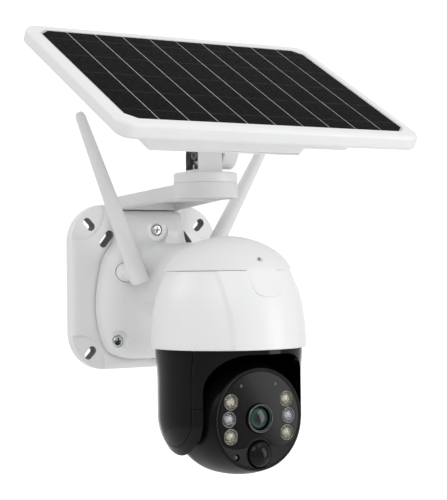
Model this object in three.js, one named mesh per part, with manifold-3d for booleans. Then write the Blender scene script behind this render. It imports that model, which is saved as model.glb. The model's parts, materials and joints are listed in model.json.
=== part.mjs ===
// Solar-powered pan-tilt security camera for a wall.
// Millimetres, +Z up. The origin is the centre of the wall plate's back face, the wall is the plane y = 0,
// and the camera looks along -y.
import * as THREE from "three";
import { mergeVertices } from "three/addons/utils/BufferGeometryUtils.js";
import Module from "manifold-3d";

const wasm = await Module();
wasm.setup();

// ---------------------------------------------------------------- driving dimensions
const GAP = 0.3; // between pieces that touch
const WALL = 2.5; // moulded wall thickness

// Wall plate: a rounded square slab with a slot near each corner
const PLATE_HALF_WIDTH = 66;
const PLATE_HALF_HEIGHT = 64.5;
const PLATE_CENTRE_Z = 1;
const PLATE_THICK = 10;
const PLATE_CORNER = 30;
const PLATE_EDGE = 4;
const SLOT_PITCH = 50; // half the distance between corner slots, both ways
const SLOT_WIDTH = 7;
const SLOT_LENGTH = 12;
const PAD_RADIUS = 23.7; // recessed pad round a corner slot
const PAD_CENTRE = 60.5;
const PAD_DEPTH = 2.2;
const HANG_SLOT = { x: 36, z: 38.6, width: 6.4, length: 15.5, turn: 0.68 }; // turn in radians

const CELL_BAY = { halfWidth: 31, bottom: -33.5, top: 34.5, depth: 6 }; // pocket in the plate's front
const BATTERY = { radius: 9.1, pitch: 19, y: -14.6, bottom: -32.5, top: 32.5, pole: 2.8 };

// Front cover: a shallow egg-shaped shell, then an oval neck that carries the dome
const GASKET_THICK = 1;
const COVER_BACK = -PLATE_THICK - GAP - GASKET_THICK - GAP;
const COVER_TOP = 60.7;
const COVER_SIDE = [
  [0, -56.3],
  [16, -55.7],
  [28, -53.6],
  [37.5, -48.5],
  [42.5, -39],
  [45.8, -26],
  [46.8, -10],
  [44.4, 8],
  [39.9, 24],
  [32.5, 35],
  [29.2, 46],
  [28.5, COVER_TOP],
];
const COVER_CENTRE_Z = 5;
const COVER_STEPS = [
  // [share of the outline, depth in front of the cover's back]
  [1, 0],
  [0.98, 6.5],
  [0.92, 11.5],
  [0.81, 14.8],
  [0.64, 17],
  [0.4, 18.5],
];
const NECK = { halfWidth: 18, halfHeight: 25, z: 9.5, flare: 4.5, start: -27, end: -118 };
const NECK_SQUARENESS = 0.86; // 1 is a true ellipse, less is squarer
const CABLE_INLET = { x: 14, y: -19.5, radius: 5, bottom: -58, top: -50 };
const SCREW = { head: 4.3, seat: 5.2, shaft: 1.6, hole: 2, slot: 0.5, slotReach: 2.6 };
const COVER_SCREWS = [
  // [name, x, z, y of the head's underside]
  ["cover_screw_top", 0, 45.3, -26.6],
  ["cover_screw_left", -34, -41, -23.5],
  ["cover_screw_right", 34, -41, -23.5],
];

// Dome on the neck's end, about a vertical axis
const DOME_Y = -129.5;
const DOME_RIM_Z = -42.2;
const DOME_SEAM_Z = 13.1;
const SKIRT_PROFILE = [
  [57.6, DOME_RIM_Z],
  [57.4, -34],
  [56.1, -18.6],
  [53.7, -5.5],
  [50.3, 4],
  [46.4, DOME_SEAM_Z - GAP / 2],
];
const CAP_PROFILE = [
  [46.3, DOME_SEAM_Z + GAP / 2],
  [42.5, 20],
  [36.2, 26.2],
  [28.1, 31.2],
  [19.4, 34.8],
  [9.8, 37.3],
  [0, 38.2],
];
const TONGUE = { halfWidth: 12.5, bottom: -6.2, proud: 0.8 };
const CAP_SCREW = { z: 21, head: -169.6, radius: 2.6, shaft: 1.3 };
const FLOOR = { bottom: -31, top: -28, radius: 54.2, bore: 12.2 };

// Pan yoke under the dome, and the tilting head between its ears
const YOKE_TOP = -42.6;
const YOKE_RADIUS = 52;
const YOKE_TOP_RADIUS = 53.4;
const TILT_Z = -91.6;
const EAR_DROP = 49; // depth of the bowl curve below the tilt axis
const EAR_POWER = 1.75;
const EAR_INNER = 42.4;
const EAR_BOTTOM = -118.2;
const ARCH = { halfWidth: 41.6, top: -45.4, corner: 27, backTop: -74 };
const YOKE_CAVITY = 49; // radius of the room inside the ears
const SIDE_SEAM = 46.4; // |x| of the plane where a side cover begins
const BEARING_CAP_TOP = -83;
const HEAD_RADIUS = 42;
const FACE_OUT = 38.8; // face plane in front of the tilt axis
const FACE_RADIUS = 35.4;
const HEAD_PROFILE = [
  // [radius, distance in front of the tilt axis]
  [HEAD_RADIUS, 0],
  [41.8, 8],
  [41.1, 17],
  [39.7, 26],
  [37.8, 34],
  [36.6, 37.8],
  [FACE_RADIUS, FACE_OUT],
];
const PLATE_RECESS = 1.6; // of the glossy face plate
const FACE_PLATE_RADIUS = 33.6;
const INSIDE_FACE = 36; // inside of the front wall, in front of the tilt axis
const LAMP_SPOTS = [
  ["lamp_lens_upper_left", -23.3, 13],
  ["lamp_lens_middle_left", -25, 1.1],
  ["lamp_lens_lower_left", -23.7, -11],
  ["lamp_lens_upper_right", 23.3, 13],
  ["lamp_lens_middle_right", 25, 1.1],
  ["lamp_lens_lower_right", 23.7, -11],
];
const LAMP_RADIUS = 5.7;
const LENS = { z: 0.5, ring: 10.4, glass: 7.6, proud: 2.4 };
const SENSOR_DOME = { z: -24.7, radius: 9.4, proud: 5, arch: 11.3 };
const SENSOR_HOLE = { x: -19, z: -26, radius: 2.5 };

// Drives: tooth counts and the sizes that follow from them
const MODULE = 1.2;
const PAN_GEAR_TEETH = 40;
const PAN_PINION_TEETH = 10;
const TILT_GEAR_TEETH = 24;
const TILT_PINION_TEETH = 8;
const PAN_GEAR_Z = -26;
const TILT_GEAR_X = -30;
const GEAR_WIDTH = 4;
const AXLE_RADIUS = 5;
const AXLE_BORE = 2.6; // for the wires into the head
const AXLE_START = 25.6; // |x| of its inner end
const MOTOR_SHAFT = 1.2;

// Antennas: tapered rods that swing in a plane parallel to the wall
const ANTENNA = { x: 29, y: -46.3, z: 12.3, length: 138, tail: 8, base: 7.1, tip: 3.8 };
const ANTENNA_LEAN = { left: 21.8, right: 31 }; // degrees outward from upright
const SOCKET = { radius: 8.5, back: -25.6, front: -36.6 };
const KNUCKLE_RADIUS = 7;

// Panel arm, swivel and hinge
const PUCK = { y: -100.3, radius: 23.8, bottom: 66.5, seam: 78, top: 85.8 };
const ARM_WALL = { halfWidth: 29.6, bottom: 61.2, top: 71.6 };
const ARM_TIP = { halfWidth: 21.6, bottom: 66.7, top: 77.8 };
const HINGE = { y: -102.5, z: 98.6, reach: 28.1 }; // reach: from the axis to the box under the panel
const POST = { left: -13, right: 8, radius: 9.3, wall: 1.7, pocket: 7.7 };
const LUG = { left: 8.4, right: 21, radius: 10, flange: { left: -16, right: 32, half: 15, thick: 2.8 } };
const BOLT_RADIUS = 2.5;
const BOLT_HEAD = 5;
const NUT_RADIUS = 5.4;

// Solar panel, built flat about its top face's centre and then tilted
const PANEL = { width: 250, depth: 175, thick: 12, corner: 11, edge: 3 };
const PANEL_CENTRE = { y: -126.87, z: 151.85 };
const PANEL_TILT = 29.48;
const CELLS = { width: 234, depth: 156.6, chamfer: 8, thick: 2.6, sunk: 0.6 };
const TRAY = { halfWidth: 112, halfDepth: 73, floor: 3 }; // room under the cells
const BACK_BOX = { front: -64, back: 36, deep: 17.6, shallow: 12 };

const HALF_TURN = Math.PI;
const RAD = Math.PI / 180;

// Sides of a round piece, by its size
const LARGE = 32;
const MEDIUM = 20;
const SMALL = 12;
const TINY = 8;

// ---------------------------------------------------------------- finishes
function finish(color, roughness, metalness = 0) {
  return { color, roughness, metalness };
}
const WHITE = finish(0xeeefef, 0.35);
const BLACK_GLOSS = finish(0x0b0b0c, 0.15);
const BLACK_SATIN = finish(0x101112, 0.4);
const STEEL = finish(0xb8babd, 0.3, 1);
const RUBBER = finish(0x2a2a2b, 0.8);
const BOARD = finish(0x14532d, 0.5);
const NYLON = finish(0xd9d6cc, 0.5);
const CELL = finish(0x07080c, 0.2);
const LAMP = finish(0xd8d6cc, 0.1);
const GLASS = finish(0x0f2a26, 0.05);
const WRAP = finish(0x2b6a9b, 0.4);
const TIN = finish(0x9a9da2, 0.35, 1);

// ---------------------------------------------------------------- solids
// A closed geometry as a manifold solid that faces outwards.
function solid(geometry) {
  const bare = geometry.index ? geometry.toNonIndexed() : geometry.clone();
  bare.deleteAttribute("normal");
  bare.deleteAttribute("uv");
  const merged = mergeVertices(bare, 1e-4);
  const kept = [];
  const index = merged.index.array;
  for (let i = 0; i < index.length; i += 3) {
    const [a, b, c] = [index[i], index[i + 1], index[i + 2]];
    if (a !== b && b !== c && a !== c) kept.push(a, b, c);
  }
  const vertProperties = merged.attributes.position.array;
  const build = (triVerts) => {
    const mesh = new wasm.Mesh({ numProp: 3, vertProperties, triVerts });
    return new wasm.Manifold(mesh);
  };
  const made = build(new Uint32Array(kept));
  if (made.volume() > 0) return made;
  for (let i = 0; i < kept.length; i += 3) {
    [kept[i], kept[i + 1]] = [kept[i + 1], kept[i]];
  }
  return build(new Uint32Array(kept));
}

function geometryOf(shape) {
  const mesh = shape.getMesh();
  const geometry = new THREE.BufferGeometry();
  const positions = new Float32Array(mesh.numVert * 3);
  for (let i = 0; i < mesh.numVert; i++) {
    positions.set(mesh.vertProperties.subarray(i * mesh.numProp, i * mesh.numProp + 3), i * 3);
  }
  geometry.setAttribute("position", new THREE.BufferAttribute(positions, 3));
  geometry.setIndex(new THREE.BufferAttribute(mesh.triVerts, 1));
  geometry.computeVertexNormals();
  return geometry;
}

const join = (...shapes) => shapes.reduce((a, b) => a.add(b));
const cut = (body, ...tools) => tools.reduce((a, b) => a.subtract(b), body);

// Turns a geometry whose height runs along +Z so that it runs along another axis.
function along(geometry, axis) {
  if (axis === "x") geometry.rotateY(HALF_TURN / 2);
  if (axis === "-x") geometry.rotateY(-HALF_TURN / 2);
  if (axis === "-y") geometry.rotateX(HALF_TURN / 2);
  if (axis === "y") geometry.rotateX(-HALF_TURN / 2);
  return geometry;
}

// A turned piece: [radius, height] points, from the axis to the axis or back to the first point.
function turned(points, { axis = "z", at = [0, 0, 0], segments = LARGE } = {}) {
  const profile = points.map(([r, h]) => new THREE.Vector2(r, h));
  const geometry = new THREE.LatheGeometry(profile, segments).rotateX(HALF_TURN / 2);
  return solid(along(geometry, axis).translate(...at));
}

// A straight cylinder from height a to height b.
function rod(radius, a, b, options = {}) {
  return turned([[0, a], [radius, a], [radius, b], [0, b]], { segments: SMALL, ...options });
}

function tube(outer, inner, a, b, options = {}) {
  const loop = [[inner, a], [outer, a], [outer, b], [inner, b], [inner, a]];
  return turned(loop, { segments: MEDIUM, ...options });
}

function block(x0, x1, y0, y1, z0, z1) {
  const geometry = new THREE.BoxGeometry(x1 - x0, y1 - y0, z1 - z0);
  return solid(geometry.translate((x0 + x1) / 2, (y0 + y1) / 2, (z0 + z1) / 2));
}

// An outline extruded from height 0 to depth, with an optional rounded edge at the far end only.
function extruded(shape, depth, { axis = "z", at = [0, 0, 0], edge = 0, curveSegments = 8 } = {}) {
  const options = { depth: depth - edge, bevelEnabled: edge > 0, curveSegments };
  if (edge > 0) {
    Object.assign(options, { bevelThickness: edge, bevelSize: edge, bevelOffset: -edge, bevelSegments: 2 });
  }
  let made = solid(along(new THREE.ExtrudeGeometry(shape, options), axis).translate(...at));
  if (edge > 0) {
    const far = 1e3;
    const below = along(new THREE.BoxGeometry(far, far, edge * 2).translate(0, 0, -edge), axis);
    made = cut(made, solid(below.translate(...at)));
  }
  return made;
}

// A solid skinned over rings of points, with flat ends.
function skinned(rings) {
  const count = rings[0].length;
  const positions = rings.flat().flatMap((p) => [p.x, p.y, p.z]);
  const index = [];
  for (let r = 0; r + 1 < rings.length; r++) {
    for (let i = 0; i < count; i++) {
      const j = (i + 1) % count;
      const [a, b] = [r * count + i, r * count + j];
      const [c, d] = [a + count, b + count];
      index.push(a, b, d, a, d, c);
    }
  }
  [0, rings.length - 1].forEach((r) => {
    const centre = new THREE.Vector3();
    rings[r].forEach((p) => centre.addScaledVector(p, 1 / count));
    const hub = positions.length / 3;
    positions.push(centre.x, centre.y, centre.z);
    for (let i = 0; i < count; i++) {
      const [a, b] = [r * count + i, r * count + ((i + 1) % count)];
      if (r === 0) index.push(b, a, hub);
      else index.push(a, b, hub);
    }
  });
  const geometry = new THREE.BufferGeometry();
  geometry.setAttribute("position", new THREE.Float32BufferAttribute(positions, 3));
  geometry.setIndex(index);
  return solid(geometry);
}

function roundedRectangle(halfWidth, halfHeight, corner, x = 0, y = 0) {
  const shape = new THREE.Shape();
  const [l, r, b, t] = [x - halfWidth, x + halfWidth, y - halfHeight, y + halfHeight];
  shape.absarc(r - corner, b + corner, corner, -HALF_TURN / 2, 0, false);
  shape.absarc(r - corner, t - corner, corner, 0, HALF_TURN / 2, false);
  shape.absarc(l + corner, t - corner, corner, HALF_TURN / 2, HALF_TURN, false);
  shape.absarc(l + corner, b + corner, corner, HALF_TURN, HALF_TURN * 1.5, false);
  shape.closePath();
  return shape;
}

// A slot prism through the plate: a long hole centred at (x, z), turned by an angle.
function slotTool(x, z, width, length, angle) {
  const shape = roundedRectangle(width / 2, length / 2, width / 2 - 0.01);
  const geometry = new THREE.ExtrudeGeometry(shape, { depth: 30, bevelEnabled: false, curveSegments: 5 });
  geometry.rotateZ(angle).translate(x, z, -10);
  return solid(along(geometry, "-y"));
}

// A gear about +Z from height 0 to its width; the first tooth points along +X after the phase turn.
function gear(teeth, width, bore, phase) {
  const pitch = (MODULE * teeth) / 2;
  const [root, top] = [pitch - 1.25 * MODULE, pitch + 0.8 * MODULE];
  const step = (2 * HALF_TURN) / teeth;
  const shape = new THREE.Shape();
  for (let i = 0; i < teeth; i++) {
    const corners = [[root, -0.34], [top, -0.11], [top, 0.11], [root, 0.34]];
    corners.forEach(([radius, share], n) => {
      const angle = phase + (i + share) * step;
      const [x, y] = [radius * Math.cos(angle), radius * Math.sin(angle)];
      if (i === 0 && n === 0) shape.moveTo(x, y);
      else shape.lineTo(x, y);
    });
  }
  shape.closePath();
  if (bore > 0) {
    const hole = new THREE.Path();
    hole.absarc(0, 0, bore, 0, 2 * HALF_TURN, true);
    shape.holes.push(hole);
  }
  return new THREE.ExtrudeGeometry(shape, { depth: width, bevelEnabled: false, curveSegments: SMALL });
}

// ---------------------------------------------------------------- scene graph
const camera = new THREE.Group();

function add(parent, name, shape, look) {
  const mesh = new THREE.Mesh(geometryOf(shape), new THREE.MeshStandardMaterial(look));
  mesh.name = name;
  parent.add(mesh);
  return mesh;
}

function frame(y, z, parent = camera) {
  const group = new THREE.Group();
  group.position.set(0, y, z);
  parent.add(group);
  return group;
}

// ---------------------------------------------------------------- wall plate
function wallPlate() {
  const outline = roundedRectangle(PLATE_HALF_WIDTH, PLATE_HALF_HEIGHT, PLATE_CORNER, 0, PLATE_CENTRE_Z);
  let plate = extruded(outline, PLATE_THICK, { axis: "-y", edge: PLATE_EDGE });
  for (const sx of [-1, 1]) {
    for (const sz of [-1, 1]) {
      const at = [sx * PAD_CENTRE, 0, sz * PAD_CENTRE + PLATE_CENTRE_Z];
      plate = cut(
        plate,
        rod(PAD_RADIUS, PLATE_THICK - PAD_DEPTH, PLATE_THICK + 5, { axis: "-y", at, segments: MEDIUM }),
        slotTool(sx * SLOT_PITCH, sz * SLOT_PITCH, SLOT_WIDTH, SLOT_LENGTH, (-sx * sz * HALF_TURN) / 4),
      );
    }
    const { x, z, width, length, turn } = HANG_SLOT;
    plate = cut(plate, slotTool(sx * x, z, width, length, sx * turn));
  }
  return plate;
}

// ---------------------------------------------------------------- front cover
function coverOutline(count = 36) {
  const right = COVER_SIDE.map(([x, z]) => new THREE.Vector2(x, z));
  const left = COVER_SIDE.map(([x, z]) => new THREE.Vector2(-x, z)).reverse();
  const shape = new THREE.Shape();
  shape.moveTo(right[0].x, right[0].y);
  shape.splineThru(right.slice(1));
  shape.lineTo(left[0].x, left[0].y);
  shape.splineThru(left.slice(1));
  return shape.getSpacedPoints(count).slice(0, count);
}

// The shell's outside, drawn in by an inset all round and in front.
function coverBody(inset) {
  const outline = coverOutline();
  const shrink = 1 - inset / 46;
  const rings = COVER_STEPS.map(([share, depth]) =>
    outline.map((p) => {
      const x = p.x * share * shrink;
      const z = COVER_CENTRE_Z + (p.y - COVER_CENTRE_Z) * share * shrink;
      return new THREE.Vector3(x, COVER_BACK - depth + (depth > 0 ? inset : 0), z);
    }),
  );
  return skinned(rings);
}

function ovalRing(halfWidth, halfHeight, y, count = 24) {
  const ring = [];
  for (let i = 0; i < count; i++) {
    const angle = (i / count) * 2 * HALF_TURN;
    const [c, s] = [Math.cos(angle), Math.sin(angle)];
    const x = halfWidth * Math.sign(c) * Math.abs(c) ** NECK_SQUARENESS;
    const z = NECK.z + halfHeight * Math.sign(s) * Math.abs(s) ** NECK_SQUARENESS;
    ring.push(new THREE.Vector3(x, y, z));
  }
  return ring;
}

function neckBody(inset) {
  const steps = [
    [NECK.flare, 0],
    [NECK.flare * 0.4, -3],
    [NECK.flare * 0.1, -6.5],
    [0, -10],
    [0, NECK.end - NECK.start],
  ];
  return skinned(
    steps.map(([grow, y]) =>
      ovalRing(NECK.halfWidth + grow - inset, NECK.halfHeight + grow - inset, NECK.start + y + inset),
    ),
  );
}

// The dome's outside as a full solid, grown by a margin, for cutting what meets it.
function domeSolid(margin) {
  const side = [...SKIRT_PROFILE, ...CAP_PROFILE].map(([r, z]) => [r === 0 ? 0 : r + margin, z]);
  side[side.length - 1][1] += margin;
  return turned([[0, DOME_RIM_Z - 1], [side[0][0], DOME_RIM_Z - 1], ...side], {
    at: [0, DOME_Y, 0],
    segments: LARGE,
  });
}

function frontCover() {
  let cover = join(coverBody(0), neckBody(0));
  const hollow = join(
    coverBody(WALL),
    neckBody(WALL),
    block(-18, 18, NECK.start - 5, NECK.start + 12, NECK.z - 20, NECK.z + 20),
  );
  cover = cut(cover, hollow, domeSolid(GAP));
  for (const [, x, z, y] of COVER_SCREWS) {
    cover = cut(cover, rod(SCREW.seat, -y - 1.6, -y + 12, { axis: "-y", at: [x, 0, z] }));
  }
  for (const sx of [-1, 1]) {
    const at = [sx * ANTENNA.x, 0, ANTENNA.z];
    cover = cut(cover, rod(SOCKET.radius + GAP, -SOCKET.back - 3, 60, { axis: "-y", at }));
  }
  const { x, y, radius, top } = CABLE_INLET;
  return cut(cover, rod(radius + GAP, -70, top + 6, { at: [x, y, 0] }));
}

function coverScrew(x, z, y) {
  const head = turned([[0, -1], [SCREW.head, -1], [SCREW.head, 0], [3.4, 0.7], [0, 0.9]], {
    axis: "-y",
    at: [x, y, z],
    segments: SMALL,
  });
  const { slot, slotReach } = SCREW;
  const cross = join(
    block(x - slotReach, x + slotReach, y - 2, y - 0.1, z - slot, z + slot),
    block(x - slot, x + slot, y - 2, y - 0.1, z - slotReach, z + slotReach),
  );
  const shaft = rod(SCREW.shaft, -y - 14, -y - 0.9, { axis: "-y", at: [x, 0, z], segments: TINY });
  return join(cut(head, cross), shaft);
}

// A flat ring that follows the cover's outline between two shares of its size.
function addGasket() {
  const outline = coverOutline();
  const ring = (share, y) =>
    outline.map((p) => {
      const z = COVER_CENTRE_Z + (p.y - COVER_CENTRE_Z) * share;
      return new THREE.Vector3(p.x * share, y, z);
    });
  const [outer, inner] = [0.975, 0.93];
  const [near, far] = [-PLATE_THICK - GAP, COVER_BACK + GAP];
  const disc = skinned([ring(outer, near), ring(outer, far)]);
  const middle = skinned([ring(inner, 0), ring(inner, -30)]);
  add(camera, "cover_gasket", cut(disc, middle), RUBBER);
}

function addBatteries() {
  const { radius, pitch, y, bottom, top, pole } = BATTERY;
  const shoulder = top - 1.5;
  const profile = [[0, bottom], [radius, bottom], [radius, shoulder], [pole, shoulder], [pole, top], [0, top]];
  ["left", "middle", "right"].forEach((side, i) => {
    const cell = turned(profile, { at: [(i - 1) * pitch, y, 0], segments: SMALL });
    add(camera, "battery_cell_" + side, cell, WRAP);
  });
}

function wallParts() {
  const bay = CELL_BAY;
  const floor = -PLATE_THICK + bay.depth;
  const pocket = block(-bay.halfWidth, bay.halfWidth, -PLATE_THICK - 5, floor, bay.bottom, bay.top);
  let plate = cut(wallPlate(), pocket);
  let cover = frontCover();
  for (const [name, x, z, y] of COVER_SCREWS) {
    const hole = rod(SCREW.hole, 3, 60, { axis: "-y", at: [x, 0, z], segments: TINY });
    plate = cut(plate, hole);
    cover = cut(cover, hole);
    add(camera, name, coverScrew(x, z, y), STEEL);
  }
  add(camera, "wall_plate", plate, WHITE);
  add(camera, "front_cover", cover, WHITE);

  addGasket();
  addBatteries();
  const { x, y, radius, bottom, top } = CABLE_INLET;
  const plug = turned([[0, top], [radius, top], [radius, bottom + 0.8], [radius - 0.8, bottom], [0, bottom]], {
    at: [x, y, 0],
    segments: SMALL,
  });
  add(camera, "cable_inlet", plug, RUBBER);

  for (const [side, sx] of [["left", -1], ["right", 1]]) {
    const { radius: r, back, front } = SOCKET;
    const socket = turned(
      [[0, -back], [r, -back], [r, -front - 1], [r - 1, -front], [0, -front]],
      { axis: "-y", at: [sx * ANTENNA.x, 0, ANTENNA.z], segments: MEDIUM },
    );
    add(camera, "antenna_socket_" + side, socket, WHITE);
  }
}

// ---------------------------------------------------------------- dome
function tonguePrism(margin, top) {
  const { halfWidth, bottom } = TONGUE;
  const [w, b] = [halfWidth + margin, bottom - margin];
  const shape = new THREE.Shape();
  shape.moveTo(-w, top);
  shape.lineTo(-w, b + 9);
  shape.bezierCurveTo(-w, b + 2.5, -w * 0.55, b, 0, b);
  shape.bezierCurveTo(w * 0.55, b, w, b + 2.5, w, b + 9);
  shape.lineTo(w, top);
  shape.closePath();
  return extruded(shape, 70, { axis: "-y", at: [0, DOME_Y, 0] });
}

function domeParts() {
  const at = [0, DOME_Y, 0];
  const inner = (points, drop = 0) => points.map(([r, z]) => [Math.max(r - WALL, 0), z - drop]).reverse();
  const skirtLoop = [...SKIRT_PROFILE, ...inner(SKIRT_PROFILE)];
  const skirtShell = turned([...skirtLoop, skirtLoop[0]], { at, segments: LARGE });
  const cableHole = rod(7, 30, 100, { axis: "y", at: [0, DOME_Y, -2], segments: SMALL });
  const skirt = cut(skirtShell, tonguePrism(GAP, 40), cableHole);
  add(camera, "dome_skirt", skirt, WHITE);

  const low = CAP_PROFILE[0];
  const under = [
    [0, 35.6],
    [9.2, 34.7],
    [18.2, 32.3],
    [26.6, 28.8],
    [34.2, 24.2],
    [40.2, 18.4],
    [low[0] - WALL, low[1]],
  ];
  const capShell = turned([...under, ...CAP_PROFILE], { at, segments: LARGE });
  const tongue = cut(domeSolid(TONGUE.proud), domeSolid(-WALL)).intersect(tonguePrism(0, 15));
  const screwIn = { axis: "-y", at: [0, 0, CAP_SCREW.z] };
  const screwOut = -CAP_SCREW.head; // how far in front of the wall its head starts
  const cap = cut(
    join(capShell, tongue),
    rod(CAP_SCREW.radius + GAP, screwOut - GAP, 190, screwIn),
    rod(CAP_SCREW.shaft + GAP, 150, 190, { ...screwIn, segments: TINY }),
  );
  add(camera, "dome_cap", cap, WHITE);
  const head = rod(CAP_SCREW.radius, screwOut, screwOut + 1.2, { ...screwIn, segments: TINY });
  const shank = rod(CAP_SCREW.shaft, screwOut - 9, screwOut + 0.1, { ...screwIn, segments: TINY });
  add(camera, "cap_screw", join(head, shank), STEEL);

  const floor = tube(FLOOR.radius, FLOOR.bore, FLOOR.bottom, FLOOR.top, { at, segments: LARGE });
  add(camera, "dome_floor", floor, BLACK_SATIN);
  const cableCut = block(-6, 6, DOME_Y + 25, DOME_Y + 50, 0, 10);
  add(camera, "main_board", cut(rod(39, 5.5, 7.1, { at, segments: MEDIUM }), cableCut), BOARD);
  const speaker = turned([[0, 9], [9, 9], [10, 14], [14, 15], [14, 17], [0, 17]], {
    at: [0, DOME_Y - 8, 0],
    segments: SMALL,
  });
  add(camera, "speaker", speaker, BLACK_SATIN);
}

// ---------------------------------------------------------------- pan drive and yoke
function panDrive() {
  const at = [0, DOME_Y, 0];
  const hub = 11.6;
  const gearPitch = (MODULE * PAN_GEAR_TEETH) / 2;
  const pinionPitch = (MODULE * PAN_PINION_TEETH) / 2;
  const pinionY = DOME_Y + gearPitch + pinionPitch;
  const [bore, rim, low, flange, top] = [5, 50, YOKE_TOP + GAP, -38.6, -21];
  const turntable = turned(
    [[bore, low], [rim, low], [rim, flange], [hub, flange], [hub, top], [bore, top], [bore, low]],
    { at },
  );
  add(camera, "pan_turntable", turntable, NYLON);
  // A tooth gap of the large gear faces +y, where a tooth of the pinion points back at -y.
  const largePhase = HALF_TURN / 2 + HALF_TURN / PAN_GEAR_TEETH;
  const large = gear(PAN_GEAR_TEETH, GEAR_WIDTH, hub + GAP, largePhase);
  add(camera, "pan_gear", solid(large.translate(0, DOME_Y, PAN_GEAR_Z)), NYLON);
  const small = gear(PAN_PINION_TEETH, GEAR_WIDTH, 0, -HALF_TURN / 2);
  const shaft = rod(MOTOR_SHAFT, PAN_GEAR_Z + 1, -14, { at: [0, pinionY, 0], segments: TINY });
  add(camera, "pan_pinion", join(solid(small.translate(0, pinionY, PAN_GEAR_Z)), shaft), NYLON);
  const motor = cut(
    rod(13.5, -20.5, -2, { at: [0, pinionY, 0], segments: MEDIUM }),
    rod(MOTOR_SHAFT + 0.4, -30, -13, { at: [0, pinionY, 0], segments: TINY }),
  );
  add(camera, "pan_motor", motor, TIN);
}

function bowlRadius(z) {
  const drop = Math.max(TILT_Z - z, 0) / EAR_DROP;
  return YOKE_RADIUS * Math.sqrt(1 - drop ** EAR_POWER);
}

function yokeOutside() {
  const points = [[0, EAR_BOTTOM]];
  const steps = 6;
  for (let i = 0; i <= steps; i++) {
    const z = EAR_BOTTOM + ((TILT_Z - EAR_BOTTOM) * i) / steps;
    points.push([bowlRadius(z), z]);
  }
  points.push([YOKE_RADIUS, -62], [YOKE_TOP_RADIUS, -46], [YOKE_TOP_RADIUS, YOKE_TOP], [0, YOKE_TOP]);
  return turned(points, { at: [0, DOME_Y, 0], segments: LARGE });
}

// An opening under an arch, seen from the front, as a prism from the pan axis outwards.
function archPrism(top, axis) {
  const { halfWidth, corner } = ARCH;
  const shape = new THREE.Shape();
  shape.moveTo(-halfWidth, -140);
  shape.lineTo(halfWidth, -140);
  shape.lineTo(halfWidth, top - corner);
  shape.bezierCurveTo(halfWidth, top - corner * 0.4, halfWidth - corner * 0.4, top, halfWidth - corner, top);
  shape.lineTo(corner - halfWidth, top);
  shape.bezierCurveTo(corner * 0.4 - halfWidth, top, -halfWidth, top - corner * 0.4, -halfWidth, top - corner);
  shape.closePath();
  const depth = 70;
  const geometry = new THREE.ExtrudeGeometry(shape, { depth, bevelEnabled: false, curveSegments: 10 });
  geometry.rotateX(HALF_TURN / 2); // the prism now runs along -y
  if (axis === "y") geometry.translate(0, depth, 0);
  return solid(geometry.translate(0, DOME_Y, 0));
}

function yokeParts() {
  const at = [0, DOME_Y, 0];
  const outside = yokeOutside();
  const far = 100;
  const [y0, y1] = [DOME_Y - far, DOME_Y + far];
  const between = block(-EAR_INNER, EAR_INNER, y0, y1, -150, 0);
  const cavity = rod(YOKE_CAVITY, -140, ARCH.top, { at, segments: LARGE }).intersect(between);
  const bore = rod(AXLE_RADIUS + GAP, -60, 60, { axis: "x", at: [0, DOME_Y, TILT_Z] });
  const hollowed = cut(outside, cavity, archPrism(ARCH.top, "-y"), archPrism(ARCH.backTop, "y"));
  const centre = hollowed.intersect(block(-SIDE_SEAM + GAP / 2, SIDE_SEAM - GAP / 2, y0, y1, -150, 0));
  const upper = cut(centre, block(-far, far, y0, y1, -150, BEARING_CAP_TOP + GAP / 2), bore);
  const wireHole = rod(5, -60, 0, { at, segments: SMALL });
  const behind = block(-far, far, DOME_Y + YOKE_CAVITY + 0.2, y1, -150, BEARING_CAP_TOP);
  add(camera, "yoke_shell", cut(upper, wireHole, behind), BLACK_GLOSS);

  for (const [side, sx] of [["left", -1], ["right", 1]]) {
    const span = (a, b) => [Math.min(sx * a, sx * b), Math.max(sx * a, sx * b)];
    const outer = outside.intersect(block(...span(SIDE_SEAM + GAP / 2, 60), y0, y1, -150, 0));
    const axis = sx < 0 ? "-x" : "x";
    const pocket = rod(15, SIDE_SEAM - 1, 49.4, { axis, at: [0, DOME_Y, TILT_Z + 12], segments: MEDIUM });
    add(camera, "side_cover_" + side, cut(outer, pocket), BLACK_GLOSS);
    const low = centre.intersect(block(...span(20, 60), y0, y1, -150, BEARING_CAP_TOP - GAP / 2));
    add(camera, "bearing_cap_" + side, cut(low, bore), BLACK_SATIN);
    const axleAt = { axis, at: [0, DOME_Y, TILT_Z], segments: SMALL };
    const axle = tube(AXLE_RADIUS, AXLE_BORE, AXLE_START, SIDE_SEAM - 0.5, axleAt);
    add(camera, "tilt_axle_" + side, axle, NYLON);
  }
}

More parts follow.
